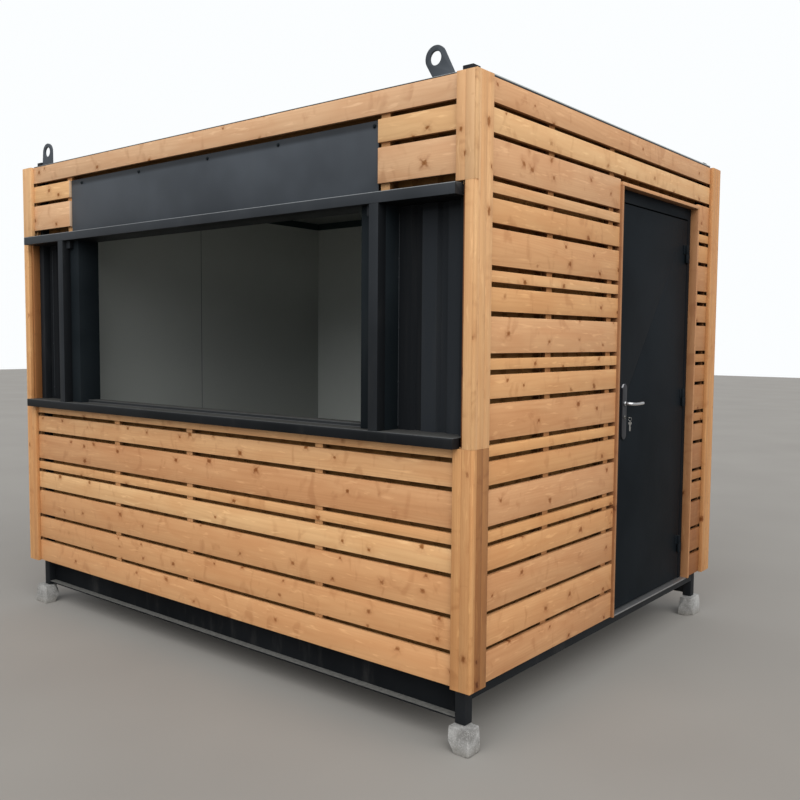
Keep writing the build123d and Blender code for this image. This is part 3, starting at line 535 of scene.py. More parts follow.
def make_finishes(timber, steel):
    light, dark, knot = tuple(timber.light), tuple(timber.dark), tuple(timber.knot)
    paint, leaf_paint, lining = tuple(steel.paint), tuple(steel.leaf_paint), tuple(steel.lining)
    wood = (light, dark, knot)
    FINISHES["front_boards"] = planed_pine("pine_front_boards", *wood, seen=FRONT_KNOTS, ends=(0.60, 0.46, 0.34))
    FINISHES["boards"] = planed_pine("pine_boards", *wood, seen=END_KNOTS)
    FINISHES["trim"] = planed_pine("pine_trim", *wood, 0.5, seen=CORNER_KNOTS, squat=(0.35, 1.5))
    FINISHES["casing"] = planed_pine("pine_casing", *wood, 0.3, squat=(0.5, 1.5), outward=(1.0, 0.0), turned_shade=0.3)
    FINISHES["front_battens"] = planed_pine("pine_front_battens", *wood, 0.3, 0.75, outward=(0.0, -1.0))
    FINISHES["side_battens"] = planed_pine("pine_side_battens", *wood, 0.3, 0.75, outward=(1.0, 0.0))
    for key, name, colour, settings in (
        # Header: darker sides are painted shade, the pale rim a painted highlight on the top edge
        ("header", "header_paint", paint, {"rim": 0.85, "sides": faded(paint, 0.45)}),
        # Sill: the pale rim is a painted highlight on its upper edges
        ("sill", "sill_paint", faded(paint, 0.22), {"rough": 0.4, "gloss": 0.10, "rim": 0.5}),
        # Base rails: paint darkened further as painted shade
        ("base", "base_paint_and_shade", faded(paint, 0.22), {"rough": 0.6, "dust": 0.6, "gloss": 0.03}),
        # Posts: paint darkened, and the sides more, as painted shade
        ("posts", "post_paint_and_shade", faded(paint, 0.62), {"rough": 0.45, "gloss": 0.12, "sides": faded(paint, 0.30)}),
        # Jamb boxes and bolts: near black, dark paint and painted shade of the recess
        ("niche", "niche_paint_and_shade", (0.0085, 0.0118, 0.0142), {"rough": 0.5, "dust": 0.2, "gloss": 0.05}),
        ("frame_steel", "frame_paint", faded(paint, 0.42), {"rough": 0.5, "dust": 0.6, "gloss": 0.12}),
        ("eyes", "eye_paint", faded(paint, 2.2), {"rough": 0.5, "dust": 0.3}),
        ("primer", "primer_paint", (0.26, 0.125, 0.04), {"rough": 0.6, "dust": 0.1, "gloss": 0.05}),
        ("bead", "bead_paint", (0.032, 0.036, 0.040), {"rough": 0.4, "dust": 0.0}),
        # Fascia: the band at its top is a painted shadow under the top board
        ("fascia", "fascia_paint", faded(paint, 1.85), {
            "rough": 0.38, "dust": 0.2, "shadow_band": (FASCIA_HIGH.z - 0.040, FASCIA_HIGH.z - 0.018)}),
        # Flashing: rim and crest are painted highlights along its top
        ("flashing", "flashing_paint", faded(paint, 1.5), {
            "dust": 0.6, "rim": 0.8, "crest": (ROOF_EDGE - 0.0058, ROOF_EDGE - 0.0050),
            "highlight_colour": (0.40, 0.42, 0.41)}),
        ("door", "door_paint", leaf_paint, {"rough": 0.50, "dust": 0.10, "gloss": 0.06}),
        ("cove", "cove_paint", (0.035, 0.055, 0.056), {"rough": 0.5, "dust": 0.0, "gloss": 0.1}),
        ("roof", "roof_paint", faded(paint, 1.2), {"rough": 0.5, "dust": 0.55}),
        # Plate: the pale rim is a painted highlight on its upper edges
        ("plate", "plate_bronze", (0.016, 0.016, 0.019), {
            "rough": 0.32, "dust": 0.0, "gloss": 0.3, "rim": 1.4, "highlight_colour": (0.55, 0.55, 0.57)}),
    ):
        FINISHES[key] = satin_paint(name, colour, **settings)
    # Brown seen through the gaps between boards: painted light bounced off the board edges
    gap_bounce_brown, niche_sheet = (0.30, 0.145, 0.045), faded(paint, 0.80)
    FINISHES["walls"] = wall_sheet("walls_sheets", gap_bounce_brown, niche_sheet, lining, lining)
    FINISHES["left_walls"] = wall_sheet(
        "left_walls_sheets", gap_bounce_brown, niche_sheet, faded(lining, 0.64), faded(lining, 1.08))
    FINISHES["lining"] = room_sheet("room_lining", faded(lining, 0.5))
    FINISHES["stone"] = rough_stone("foot_stone")
    FINISHES["floor"] = sealed_ply("floor_board")
    FINISHES["satin"] = brushed_metal("satin_steel", (0.72, 0.72, 0.73), 0.20)
    FINISHES["bare"] = brushed_metal("worn_steel", (0.42, 0.42, 0.42), 0.38)
    FINISHES["key"] = brushed_metal("key_nickel", (0.30, 0.29, 0.272), 0.26)


# Mesh helpers

def cad_copy(node):
    """A merged copy of a CAD node's mesh, with its flat faces joined."""
    bm = bmesh.new()
    bm.from_mesh(NODES[node].data)
    bmesh.ops.remove_doubles(bm, verts=bm.verts, dist=MERGE_GAP)
    bmesh.ops.dissolve_limit(
        bm, angle_limit=math.radians(0.5), use_dissolve_boundaries=False, verts=bm.verts, edges=bm.edges)
    return bm


def cad_solids(node):
    """The lowest and highest corner of each separate solid of a CAD node."""
    bm = bmesh.new()
    bm.from_mesh(NODES[node].data)
    bmesh.ops.remove_doubles(bm, verts=bm.verts, dist=MERGE_GAP)
    left_over = set(bm.verts)
    boxes = []
    while left_over:
        found = {left_over.pop()}
        edge_of_search = list(found)
        while edge_of_search:
            vert = edge_of_search.pop()
            for edge in vert.link_edges:
                other = edge.other_vert(vert)
                if other not in found:
                    found.add(other)
                    edge_of_search.append(other)
        left_over -= found
        places = [vert.co for vert in found]
        low = Vector(min(place[axis] for place in places) for axis in range(3))
        high = Vector(max(place[axis] for place in places) for axis in range(3))
        boxes.append((low, high))
    bm.free()
    return sorted(boxes, key=lambda box: (round(box[0].z, 3), round(box[0].x, 3), round(box[0].y, 3)))


def sharp_edges(bm, degrees=30.0):
    limit = math.radians(degrees)
    return [edge for edge in bm.edges if len(edge.link_faces) == 2 and edge.calc_face_angle(0.0) > limit]


def ease_edges(bm, edges, width, segments=2):
    bmesh.ops.bevel(
        bm, geom=edges, offset=width, offset_type="OFFSET", affect="EDGES", segments=segments,
        profile=0.5, material=-1, clamp_overlap=True)


def add_box(bm, low, high):
    """Adds a box between two corners and gives back its vertices."""
    made = bmesh.ops.create_cube(bm, size=1.0)["verts"]
    size = Vector(high) - Vector(low)
    bmesh.ops.scale(bm, vec=size, verts=made)
    bmesh.ops.translate(bm, vec=(Vector(low) + Vector(high)) / 2, verts=made)
    return made


def add_block(bm, middle, half):
    """Adds a box round a middle and gives back its vertices."""
    return add_box(bm, Vector(middle) - Vector(half), Vector(middle) + Vector(half))


def add_tube(bm, start, end, radius, sides=24):
    """Adds a round bar between two points and gives back its vertices."""
    start, end = Vector(start), Vector(end)
    run = end - start
    turn = run.to_track_quat("Z", "Y").to_matrix().to_4x4()
    return bmesh.ops.create_cone(
        bm, cap_ends=True, cap_tris=False, segments=sides, radius1=radius, radius2=radius, depth=run.length,
        matrix=Matrix.Translation((start + end) / 2) @ turn)["verts"]


def add_board(bm, low, high, dice, edge, shade=0.15, tint=None):
    """Adds a planed board with eased edges and the place in the log that its grain comes from.

    Shade is how much darker it is: weathered tone, and painted shade on boards that stand in shade. Tint runs from
    yellow, at 0, to pink: wide boards are pinker.
    """
    size = Vector(high) - Vector(low)
    middle = (Vector(low) + Vector(high)) / 2
    piece = bmesh.new()
    add_box(piece, low, high)
    ease_edges(piece, piece.edges[:], min(edge, min(size) * 0.2))
    place_layer = piece.verts.layers.float_vector.new("log_place")
    tone_layer = piece.verts.layers.float_vector.new("board_tone")
    order = sorted(range(3), key=lambda axis: -size[axis])
    narrowest, widest = 0.045, 0.145
    broad = min(max((size[order[1]] - narrowest) / (widest - narrowest), 0.0), 1.0)
    if tint is None:
        tint = min(max(0.15 + 0.6 * broad + dice.uniform(-0.25, 0.25), 0.0), 1.0)
    tone = Vector((max(shade + 0.05 * (broad - 0.5) + dice.uniform(-0.05, 0.06), 0.0), tint, dice.random()))
    pith = Vector((dice.uniform(0.0, 6.0), dice.uniform(-0.05, 0.05), dice.uniform(0.035, 0.10)))
    lean = dice.uniform(-0.012, 0.012)
    for vert in piece.verts:
        offset = vert.co - middle
        along = offset[order[0]]
        vert[place_layer] = Vector((
            along + pith.x, offset[order[1]] + pith.y + along * lean, offset[order[2]] + pith.z))
        vert[tone_layer] = tone
    mesh = bpy.data.meshes.new("scrap")
    piece.to_mesh(mesh)
    piece.free()
    bm.from_mesh(mesh)
    bpy.data.meshes.remove(mesh)


def add_plain_boards(name, node, finish, slot, dice, edge, shade):
    """Shows each solid of a CAD node as a board of the same shade."""
    bm = bmesh.new()
    for low, high in cad_solids(node):
        add_board(bm, low, high, dice, edge, shade)
    add_piece(name, bm, finish, slot, "kiosk", node)


def add_strips(bm, low, high, dice, edge, axis, outer, shade):
    """Adds an upright board glued up from strips, with the narrowest at the building's corner."""
    rim, widest = 0.011, 0.06
    rest = high[axis] - low[axis] - rim
    count = 2 if rest > widest else 1
    cuts = [rest * step / count for step in range(count + 1)] + [rest + rim]
    for near, far in zip(cuts, cuts[1:]):
        strip_low, strip_high = Vector(low), Vector(high)
        if outer > 0:
            strip_low[axis], strip_high[axis] = low[axis] + near, low[axis] + far
        else:
            strip_low[axis], strip_high[axis] = high[axis] - far, high[axis] - near
        # The strip at the building's corner is paler: a painted highlight along the corner
        shade_here = shade * (0.6 if far > rest else 1.0)
        add_board(bm, strip_low, strip_high, dice, edge, shade_here, dice.uniform(0.1, 0.4) * (1.0 - 0.6 * shade))


def add_sweep(bm, stations, sides=20):
    """Adds a bar drawn through stations: a place, a direction, and the bar's two half widths there."""
    before = set(bm.verts)
    ring = bmesh.ops.create_circle(bm, cap_ends=True, segments=sides, radius=1.0)["verts"]
    edges = list({edge for vert in ring for edge in vert.link_edges})
    pose = Matrix.Identity(4)
    for index, (place, ahead, (half_up, half_side)) in enumerate(stations):
        if index:
            grown = bmesh.ops.extrude_edge_only(bm, edges=edges)["geom"]
            ring = [part for part in grown if isinstance(part, bmesh.types.BMVert)]
            edges = [part for part in grown if isinstance(part, bmesh.types.BMEdge)]
        turn = Vector(ahead).to_track_quat("Z", "X").to_matrix().to_4x4()
        target = Matrix.Translation(place) @ turn @ Matrix.Diagonal((half_up, half_side, 1.0, 1.0))
        bmesh.ops.transform(bm, matrix=target @ pose.inverted(), verts=ring)
        pose = target
    bmesh.ops.contextual_create(bm, geom=edges)
    made = [vert for vert in bm.verts if vert not in before]
    bmesh.ops.recalc_face_normals(bm, faces=list({face for vert in made for face in vert.link_faces}))


def add_ring(bm, centre, radius, wire, turn=0.0, sides=28):
    """Adds an upright ring of round wire, turned about the vertical."""
    circle = bmesh.ops.create_circle(
        bm, cap_ends=False, segments=8, radius=wire, matrix=Matrix.Translation((radius, 0.0, 0.0)))["verts"]
    edges = list({edge for vert in circle for edge in vert.link_edges})
    before = set(bm.verts) - set(circle)
    bmesh.ops.spin(
        bm, geom=circle + edges, cent=(0.0, 0.0, 0.0), axis=(0.0, 1.0, 0.0), angle=math.tau, steps=sides,
        use_merge=True, use_duplicate=False)
    made = [vert for vert in bm.verts if vert not in before]
    bmesh.ops.rotate(bm, cent=(0.0, 0.0, 0.0), matrix=Matrix.Rotation(math.radians(turn), 3, "Z"), verts=made)
    bmesh.ops.translate(bm, vec=centre, verts=made)
    bmesh.ops.recalc_face_normals(bm, faces=list({face for vert in made for face in vert.link_faces}))


def shade_soft(mesh, degrees=32.0):
    """Smooth shading that keeps the hard corners."""
    limit = math.radians(degrees)
    bm = bmesh.new()
    bm.from_mesh(mesh)
    for face in bm.faces:
        face.smooth = True
    for edge in bm.edges:
        edge.smooth = len(edge.link_faces) == 2 and edge.calc_face_angle(0.0) < limit
    bm.to_mesh(mesh)
    bm.free()


def add_piece(name, bm, finish, slot, body, *nodes):
    """Turns a bmesh into a piece that rides on a body, in place of some CAD nodes."""
    mesh = bpy.data.meshes.new(name)
    bm.to_mesh(mesh)
    bm.free()
    shade_soft(mesh)
    made = bpy.data.objects.new(name, mesh)
    bpy.context.scene.collection.objects.link(made)
    mesh.materials.append(FINISHES[finish])
    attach(made, body)
    if nodes:
        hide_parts(*nodes)


def dress_node(node, finish):
    """Gives a CAD node that stays its material."""
    mesh = NODES[node].data
    mesh.materials.clear()
    mesh.materials.append(FINISHES[finish])


def eased_node(node, name, finish, slot, body, width, segments=2):
    """Shows a CAD node as the same shape with its hard edges eased."""
    bm = cad_copy(node)
    ease_edges(bm, sharp_edges(bm), width, segments)
    add_piece(name, bm, finish, slot, body, node)


# Pieces

class KIOSK_OT_finishes(bpy.types.Operator):
    """Make the materials"""
    bl_idname = "kiosk.finishes"
    bl_label = "Make finishes"

    def execute(self, context):
        make_finishes(context.scene.kiosk_timber, context.scene.kiosk_steel)
        return {"FINISHED"}


class KIOSK_OT_cladding(bpy.types.Operator):
    """Lay the horizontal boards and the upright battens behind them"""
    bl_idname = "kiosk.cladding"
    bl_label = "Lay cladding"

    def execute(self, context):
        edge = context.scene.kiosk_timber.edge
        dice = random.Random(41)
        # From the top down: the height above which a row counts, its extra shade and its tint
        high_rows = ((2.55, 0.20, 0.9), (2.44, 0.0, 0.05), (2.28, 0.0, 0.9))
        low_rows = (
            (1.17, 0.04, 0.3), (1.06, 0.02, 0.4), (0.90, 0.05, 0.8), (0.83, 0.0, 0.2), (0.72, -0.12, 0.0),
            (0.55, 0.08, 0.6))
        for node, finish, weathering_and_shade, fall, rows in (
            ("front_lower_boards", "front_boards", 0.01, 0.26, low_rows),
            ("front_upper_boards", "front_boards", 0.0, 0.10, high_rows), ("back_boards", "boards", 0.15, 0.20, ()),
            ("left_boards", "boards", 0.15, 0.20, ()), ("right_front_boards", "boards", 0.10, 0.30, high_rows),
            ("right_rear_boards", "boards", 0.32, 0.85, high_rows),
        ):
            bm = bmesh.new()
            for low, high in cad_solids(node):
                # A board's shade grows towards the bottom by fall; on the rear boards beside the door it is painted
                # shade
                shade = weathering_and_shade + fall * (1.0 - low.z / WALL_TOP)
                over_the_door = node == "right_rear_boards" and high.y - low.y > 1.0
                if over_the_door:
                    shade = 0.0
                extra, hue = next(((extra, hue) for level, extra, hue in rows if low.z > level), (0.0, None))
                if node != "front_upper_boards":
                    shade += extra
                add_board(bm, low, high, dice, edge, shade, hue)
            add_piece("planed_" + node, bm, finish, "wood_clad", "kiosk", node)
        # Battens are darkened, the back and side ones most: painted shade in the gaps behind the boards
        for node, finish, shade in (
            ("front_battens", "front_battens", 0.15), ("back_battens", "front_battens", 0.5),
            ("left_battens", "side_battens", 0.5), ("right_battens", "side_battens", 0.6),
        ):
            add_plain_boards("sawn_" + node, node, finish, "batten_wood", dice, edge * 0.6, shade)
        return {"FINISHED"}


class KIOSK_OT_corner_boards(bpy.types.Operator):
    """Fit the upright boards at the corners and round the hatch and the door"""
    bl_idname = "kiosk.corner_boards"
    bl_label = "Fit corner boards"

    def execute(self, context):
        edge = context.scene.kiosk_timber.edge
        glued = edge * 0.45
        narrow, joint, casing_thick, casing_tint = 0.050, HEADER_TOP + 0.008, 0.018, 0.9
        dice = random.Random(7)
        bm = bmesh.new()
        for low, high in cad_solids("front_corner_boards"):
            right = low.x > 0
            outer = 1 if right else -1
            strip_low = high.x - narrow if right else low.x
            strip_high = high.x if right else low.x + narrow
            add_strips(bm, low, (high.x, high.y, SILL_BOTTOM), dice, glued, 0, outer, 0.46)
            add_strips(bm, (strip_low, low.y, SILL_BOTTOM), (strip_high, high.y, joint), dice, glued, 0, outer, 0.2)
            add_strips(bm, (low.x, low.y, joint), high, dice, glued, 0, outer, 0.04)
        add_piece("front_corner_planks", bm, "trim", "wood_trim", "kiosk", "front_corner_boards")
        bm = bmesh.new()
        for low, high in cad_solids("side_corner_boards"):
            if low.y < 0:
                add_strips(bm, low, (high.x, high.y, SILL_BOTTOM), dice, glued, 1, -1, 0.98)
                add_strips(bm, (low.x, low.y, SILL_BOTTOM), high, dice, glued, 1, -1, 0.14)
            else:
                add_strips(bm, low, high, dice, glued, 1, 1, 0.5)
        add_piece("side_corner_planks", bm, "trim", "wood_trim", "kiosk", "side_corner_boards")
        add_plain_boards("back_corner_planks", "back_corner_boards", "trim", "wood_trim", dice, edge, 0.4)
        # The reveal boards are darkened right down: painted shade under the header
        add_plain_boards("hatch_planks", "hatch_reveal_boards", "trim", "wood_trim", dice, edge, 1.1)
        low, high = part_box("door_casing")
        head = high.z - casing_thick
        bm = bmesh.new()
        for start, end, shade in (
            (low, (high.x, low.y + casing_thick, head), 0.85),
            ((low.x, high.y - casing_thick, low.z), (high.x, high.y, head), 0.62),
            ((low.x, low.y, head), high, 0.25),
        ):
            add_board(bm, start, end, dice, edge, shade, casing_tint)
        add_piece("door_casing_planks", bm, "casing", "wood_trim", "kiosk", "door_casing")
        return {"FINISHED"}


class KIOSK_OT_hatch(bpy.types.Operator):
    """Fit the steel bars, posts, jambs and fascia of the serving hatch"""
    bl_idname = "kiosk.hatch"
    bl_label = "Fit hatch"

    def execute(self, context):
        edge = context.scene.kiosk_steel.edge
        nosing_width, thin_sheet, tolerance = 0.0045, 0.0008, 0.0005
        for node, name, finish in (("hatch_header", "header_bar", "header"), ("hatch_sill", "sill_bar", "sill")):
            bm = cad_copy(node)
            low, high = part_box(node)
            nosing = [
                piece for piece in bm.edges
                if all(vert.co.y < low.y + tolerance and vert.co.z > high.z - tolerance for vert in piece.verts)]
            ease_edges(bm, nosing, nosing_width, 4)
            ease_edges(bm, sharp_edges(bm), edge)
            add_piece(name, bm, finish, "dark_steel", "kiosk", node)
        eased_node("hatch_posts", "hatch_uprights", "posts", "dark_steel", "kiosk", edge)
        eased_node("hatch_jambs", "jamb_boxes", "niche", "dark_steel", "kiosk", edge)
        eased_node("hatch_fascia", "fascia_sheet", "fascia", "fascia_paint", "kiosk", thin_sheet)

        # Bolts with washers along the fascia, by their distance from the left end
        bolts, level, head_radius, washer_radius = (0.598, 1.147, 1.717, 2.220, 2.798), 2.523, 0.0062, 0.0092
        sunk, washer_top, head_foot, head_top = 0.0005, 0.0016, 0.0010, 0.0062
        face = FASCIA_LOW.y
        bm = bmesh.new()
        for distance in bolts:
            x = LEFT_FACE + distance
            add_tube(bm, (x, face + sunk, level), (x, face - washer_top, level), washer_radius, 20)
            add_tube(bm, (x, face - head_foot, level), (x, face - head_top, level), head_radius, 6)
        ease_edges(bm, sharp_edges(bm, 50.0), 0.0004, 1)
        add_piece("fascia_bolts", bm, "niche", "dark_steel", "kiosk")

        # Narrow beads over the joints of the sheet in the niche, each held by four screws
        strip, proud, foot, top = 0.0022, 0.0020, SILL_BOTTOM + 0.058, HEADER_TOP - 0.075
        screw_radius, screw_proud, screws = 0.0038, 0.0020, 4
        dice = random.Random(23)
        bm = bmesh.new()
        for x, drop in ((JAMB_EDGE, 0.0), (-JAMB_EDGE - 0.008 - strip, 0.25), (ROOM_LOW.x + 0.012, 0.0)):
            start = foot + drop
            add_box(bm, (x, NICHE_DEPTH - proud, start), (x + strip, NICHE_DEPTH + 0.001, top))
            for count in range(screws):
                height = start + (top - start) * (count + dice.uniform(0.1, 0.9)) / screws
                middle = x + strip / 2
                add_tube(
                    bm, (middle, NICHE_DEPTH, height), (middle, NICHE_DEPTH - proud - screw_proud, height),
                    screw_radius, 12)
        ease_edges(bm, sharp_edges(bm), 0.0005, 1)
        add_piece("niche_beads", bm, "bead", "dark_steel", "kiosk")
        return {"FINISHED"}


class KIOSK_OT_frame(bpy.types.Operator):
    """Fit the steel frame, the roof and the lifting eyes"""
    bl_idname = "kiosk.frame"
    bl_label = "Fit frame"

    def execute(self, context):
        edge, plate_edge, flashing_edge = context.scene.kiosk_steel.edge, 0.0012, 0.0025
        for node, name, finish in (
            ("corner_posts", "frame_posts", "frame_steel"), ("base_channels", "base_rails", "base"),
            ("floor_beams", "floor_rails", "frame_steel"), ("roof_beams", "roof_rails", "primer"),
        ):
            eased_node(node, name, finish, "dark_steel", "kiosk", edge)
        eased_node("lifting_eyes", "lifting_plates", "eyes", "dark_steel", "kiosk", plate_edge)
        eased_node("roof_trim", "roof_flashing", "flashing", "dark_steel", "kiosk", flashing_edge, 3)
        dress_node("roof_sheet", "roof")
        return {"FINISHED"}


class KIOSK_OT_walls(bpy.types.Operator):
    """Fit the ribbed wall panels, the ceiling and the floor"""
    bl_idname = "kiosk.walls"
    bl_label = "Fit walls"

    def execute(self, context):
        dress_node("left_wall", "left_walls")
        for node in ("back_wall", "front_wall", "right_wall"):
            dress_node(node, "walls")
        dress_node("ceiling_panel", "lining")
        dress_node("floor_panel", "floor")
        low, high = ROOM_LOW, ROOM_HIGH
        thick, joint, half_joint, proud, sunk = 0.004, -0.024, 0.0016, 0.0006, 0.0005
        bm = bmesh.new()
        for start, end in (
            ((low.x - thick, low.y), (low.x, high.y)), ((high.x, low.y), (high.x + thick, high.y)),
            ((low.x, high.y), (high.x, high.y + thick)), ((low.x, low.y - thick), (high.x, low.y)),
        ):
            add_box(bm, (*start, WALL_TOP), (*end, CEILING))
        ease_edges(bm, bm.edges[:], 0.0006, 1)
        add_piece("ceiling_cove", bm, "cove", "dark_steel", "kiosk")
        bm = bmesh.new()
        add_box(bm, (low.x - sunk, joint - half_joint, FLOOR_TOP), (low.x + proud, joint + half_joint, WALL_TOP))
        add_piece("lining_joint", bm, "cove", "panel_sheet", "kiosk")
        return {"FINISHED"}


class KIOSK_OT_door(bpy.types.Operator):
    """Hang the door leaf in its frame"""
    bl_idname = "kiosk.door"
    bl_label = "Hang door"

    def execute(self, context):
        edge = context.scene.kiosk_steel.edge
        hinge_edge, plate_edge = 0.0008, 0.001
        for node, name, finish, slot, body, width in (
            ("door_leaf", "leaf_skin", "door", "door_paint", "door", edge),
            ("door_frame", "door_surround", "door", "door_paint", "kiosk", edge),
            ("door_threshold", "threshold_plate", "bare", "bare_steel", "kiosk", plate_edge),
            ("hinge_frame_halves", "hinge_pins", "door", "door_paint", "kiosk", hinge_edge),
            ("hinge_leaf_halves", "hinge_barrels", "door", "door_paint", "door", hinge_edge),
        ):
            eased_node(node, name, finish, slot, body, width)
        return {"FINISHED"}


class KIOSK_OT_furniture(bpy.types.Operator):
    """Fit the handle plates, the lock with its keys and the lever"""
    bl_idname = "kiosk.furniture"
    bl_label = "Fit door furniture"

    def execute(self, context):
        eased_node("handle_plates", "long_plates", "plate", "bare_steel", "door", 0.0038, 4)
        across, up = (PLATE_LOW.y + PLATE_HIGH.y) / 2, (LEVER_LOW.z + LEVER_HIGH.z) / 2
        reach = LEVER_HIGH.y - across
        grip, sunk, tip_half, spindle = 0.0115, 0.001, 0.0085, 0.0045
        # Shares of the way out from the plate and of the reach along the door, the lift, the direction
        # outwards, along and up, and the two half widths
        path = (
            (0.00, 0.000, 0.0000, 1.0, 0.0, 0.0, grip, grip),
            (0.10, 0.000, 0.0000, 1.0, 0.0, 0.0, grip, grip),
            (0.16, 0.000, 0.0000, 1.0, 0.0, 0.0, 0.0090, 0.0090),
            (0.52, 0.004, 0.0000, 1.0, 0.1, 0.0, 0.0088, 0.0088),
            (0.80, 0.045, -0.0008, 0.7, 0.7, -0.1, 0.0086, 0.0080),
            (0.90, 0.120, -0.0018, 0.25, 1.0, -0.1, 0.0084, 0.0074),
            (0.94, 0.300, -0.0032, 0.08, 1.0, -0.07, 0.0080, 0.0068),
            (0.96, 0.520, -0.0036, 0.04, 1.0, 0.07, 0.0078, 0.0068),
            (0.98, 0.760, -0.0030, 0.04, 1.0, 0.12, 0.0086, 0.0072),
            (1.00, 0.930, -0.0022, 0.00, 1.0, 0.02, 0.0088, 0.0076),
            (1.00, 0.985, -0.0021, 0.00, 1.0, 0.0, 0.0070, 0.0060),
            (1.00, 1.000, -0.0021, 0.00, 1.0, 0.0, 0.0040, 0.0034),
        )
        bm = bmesh.new()
        for plate, tip, side in ((PLATE_HIGH.x, LEVER_HIGH.x, 1), (PLATE_LOW.x, LEVER_LOW.x, -1)):
            start = plate + side * sunk
            out = abs(tip - side * tip_half - start)
            add_sweep(bm, [
                ((start + side * out * run, across + reach * along, up + lift), (side * ahead, turn, slope), halves)
                for run, along, lift, ahead, turn, slope, *halves in path])
        add_tube(bm, (PLATE_LOW.x - sunk, across, up), (PLATE_HIGH.x + sunk, across, up), spindle, 16)
        add_piece("lever_handle", bm, "satin", "bare_steel", "lever", "door_lever")

        # Lock cylinder and its two faces, with a key in the outer one
        lock, cylinder_radius, proud = up - 0.070, 0.0085, 0.004
        key_half, shank_half, bow_radius = 0.0022, 0.0040, 0.0105
        root, bow = PLATE_HIGH.x + proud, PLATE_HIGH.x + 0.0250
        bm = bmesh.new()
        for start, end in ((PLATE_HIGH.x, root), (PLATE_LOW.x - proud, PLATE_LOW.x)):
            add_tube(bm, (start, across, lock), (end, across, lock), cylinder_radius, 28)
        add_block(bm, (root + 0.006, across, lock), (0.008, shank_half, key_half))
        add_tube(bm, (bow, across, lock - key_half), (bow, across, lock + key_half), bow_radius, 24)

        # Ring through its bow, a link, and the spare key, made flat along Y and then turned
        loop, link, wire = 0.0082, 0.0062, 0.0009
        hang, top = KEY_END + 0.003, lock - loop + 0.0005
        add_ring(bm, (hang, across, top), loop, wire, 28.0)
        add_ring(bm, (hang, across, top - loop - 0.0050), link, wire, -50.0)
        spare_radius, thick, blade, half_length, teeth = 0.0085, 0.0011, 0.0034, 0.0170, 4
        tooth_thick, tooth_rise, tooth_pitch = 0.0010, 0.0016, 0.0045
        spare_bow = top - loop - 0.0130
        spare = add_tube(bm, (hang - thick, across, spare_bow), (hang + thick, across, spare_bow), spare_radius, 24)
        spare += add_block(bm, (hang, across, spare_bow - 0.023), (thick, blade, half_length))
        for tooth in range(teeth):
            half = 0.0006 + 0.0004 * (tooth % 2)
            middle = (hang, across + blade + half, spare_bow - 0.020 - tooth * tooth_pitch)
            spare += add_block(bm, middle, (tooth_thick, half, tooth_rise))
        bmesh.ops.rotate(
            bm, cent=(hang, across, spare_bow), matrix=Matrix.Rotation(math.radians(-58.0), 3, "Z"), verts=spare)
        ease_edges(bm, sharp_edges(bm, 50.0), 0.0004, 1)
        add_piece("lock_and_keys", bm, "key", "lock_metal", "door", "lock_cylinder")
        return {"FINISHED"}


class KIOSK_OT_feet(bpy.types.Operator):
    """Set the rough stone blocks under the posts"""
    bl_idname = "kiosk.feet"
    bl_label = "Set foot blocks"

    def execute(self, context):
        grain_size, chip, grit, cut_count = 0.0035, 0.0060, 0.0016, 6
        patch = Vector((7.0, 3.0, 5.0))
        dice = random.Random(5)
        cuts = []
        for low, high in cad_solids("foot_blocks"):
            half = (high - low) / 2
            for count in range(cut_count):
                way = Vector((
                    (-1) ** count * dice.uniform(0.2, 1.0), (-1) ** (count // 2) * dice.uniform(0.2, 1.0),
                    dice.uniform(-0.5, 0.6))).normalized()
                reach = sum(abs(way[axis]) * half[axis] for axis in range(3)) - dice.uniform(0.012, 0.030)
                cuts.append(((low + high) / 2, way, reach, half.length * 1.2))
        blank = bpy.data.meshes.new("scrap_block")
        bm = cad_copy("foot_blocks")
        bm.to_mesh(blank)
        bm.free()
        block = bpy.data.objects.new("scrap_block", blank)
        context.scene.collection.objects.link(block)
        remesh = block.modifiers.new("Even mesh", "REMESH")
        remesh.mode = "VOXEL"
        remesh.voxel_size = grain_size
        shape = bpy.data.meshes.new_from_object(block.evaluated_get(context.evaluated_depsgraph_get()))
        bpy.data.objects.remove(block)
        bm = bmesh.new()
        bm.from_mesh(shape)
        bpy.data.meshes.remove(shape)
        bm.normal_update()
        for vert, normal in [(vert, vert.normal.copy()) for vert in bm.verts]:
            broad = noise.noise(vert.co * 22.0) * 0.5 + 0.5
            fine = noise.noise(vert.co * 95.0) * 0.5 + 0.5
            corner = 1.0 - max(abs(part) for part in normal) ** 6
            bite = max(noise.noise(vert.co * 34.0 + patch) - 0.05, 0.0) * corner * 2.2
            vert.co -= normal * (chip * (broad * 0.30 + bite) + fine * grit)
            for centre, way, reach, limit in cuts:
                offset = vert.co - centre
                if offset.length < limit:
                    vert.co -= way * max(offset.dot(way) - reach, 0.0)
            vert.co.z = max(vert.co.z, 0.0)
        add_piece("stone_blocks", bm, "stone", "stone_block", "kiosk", "foot_blocks")
        return {"FINISHED"}


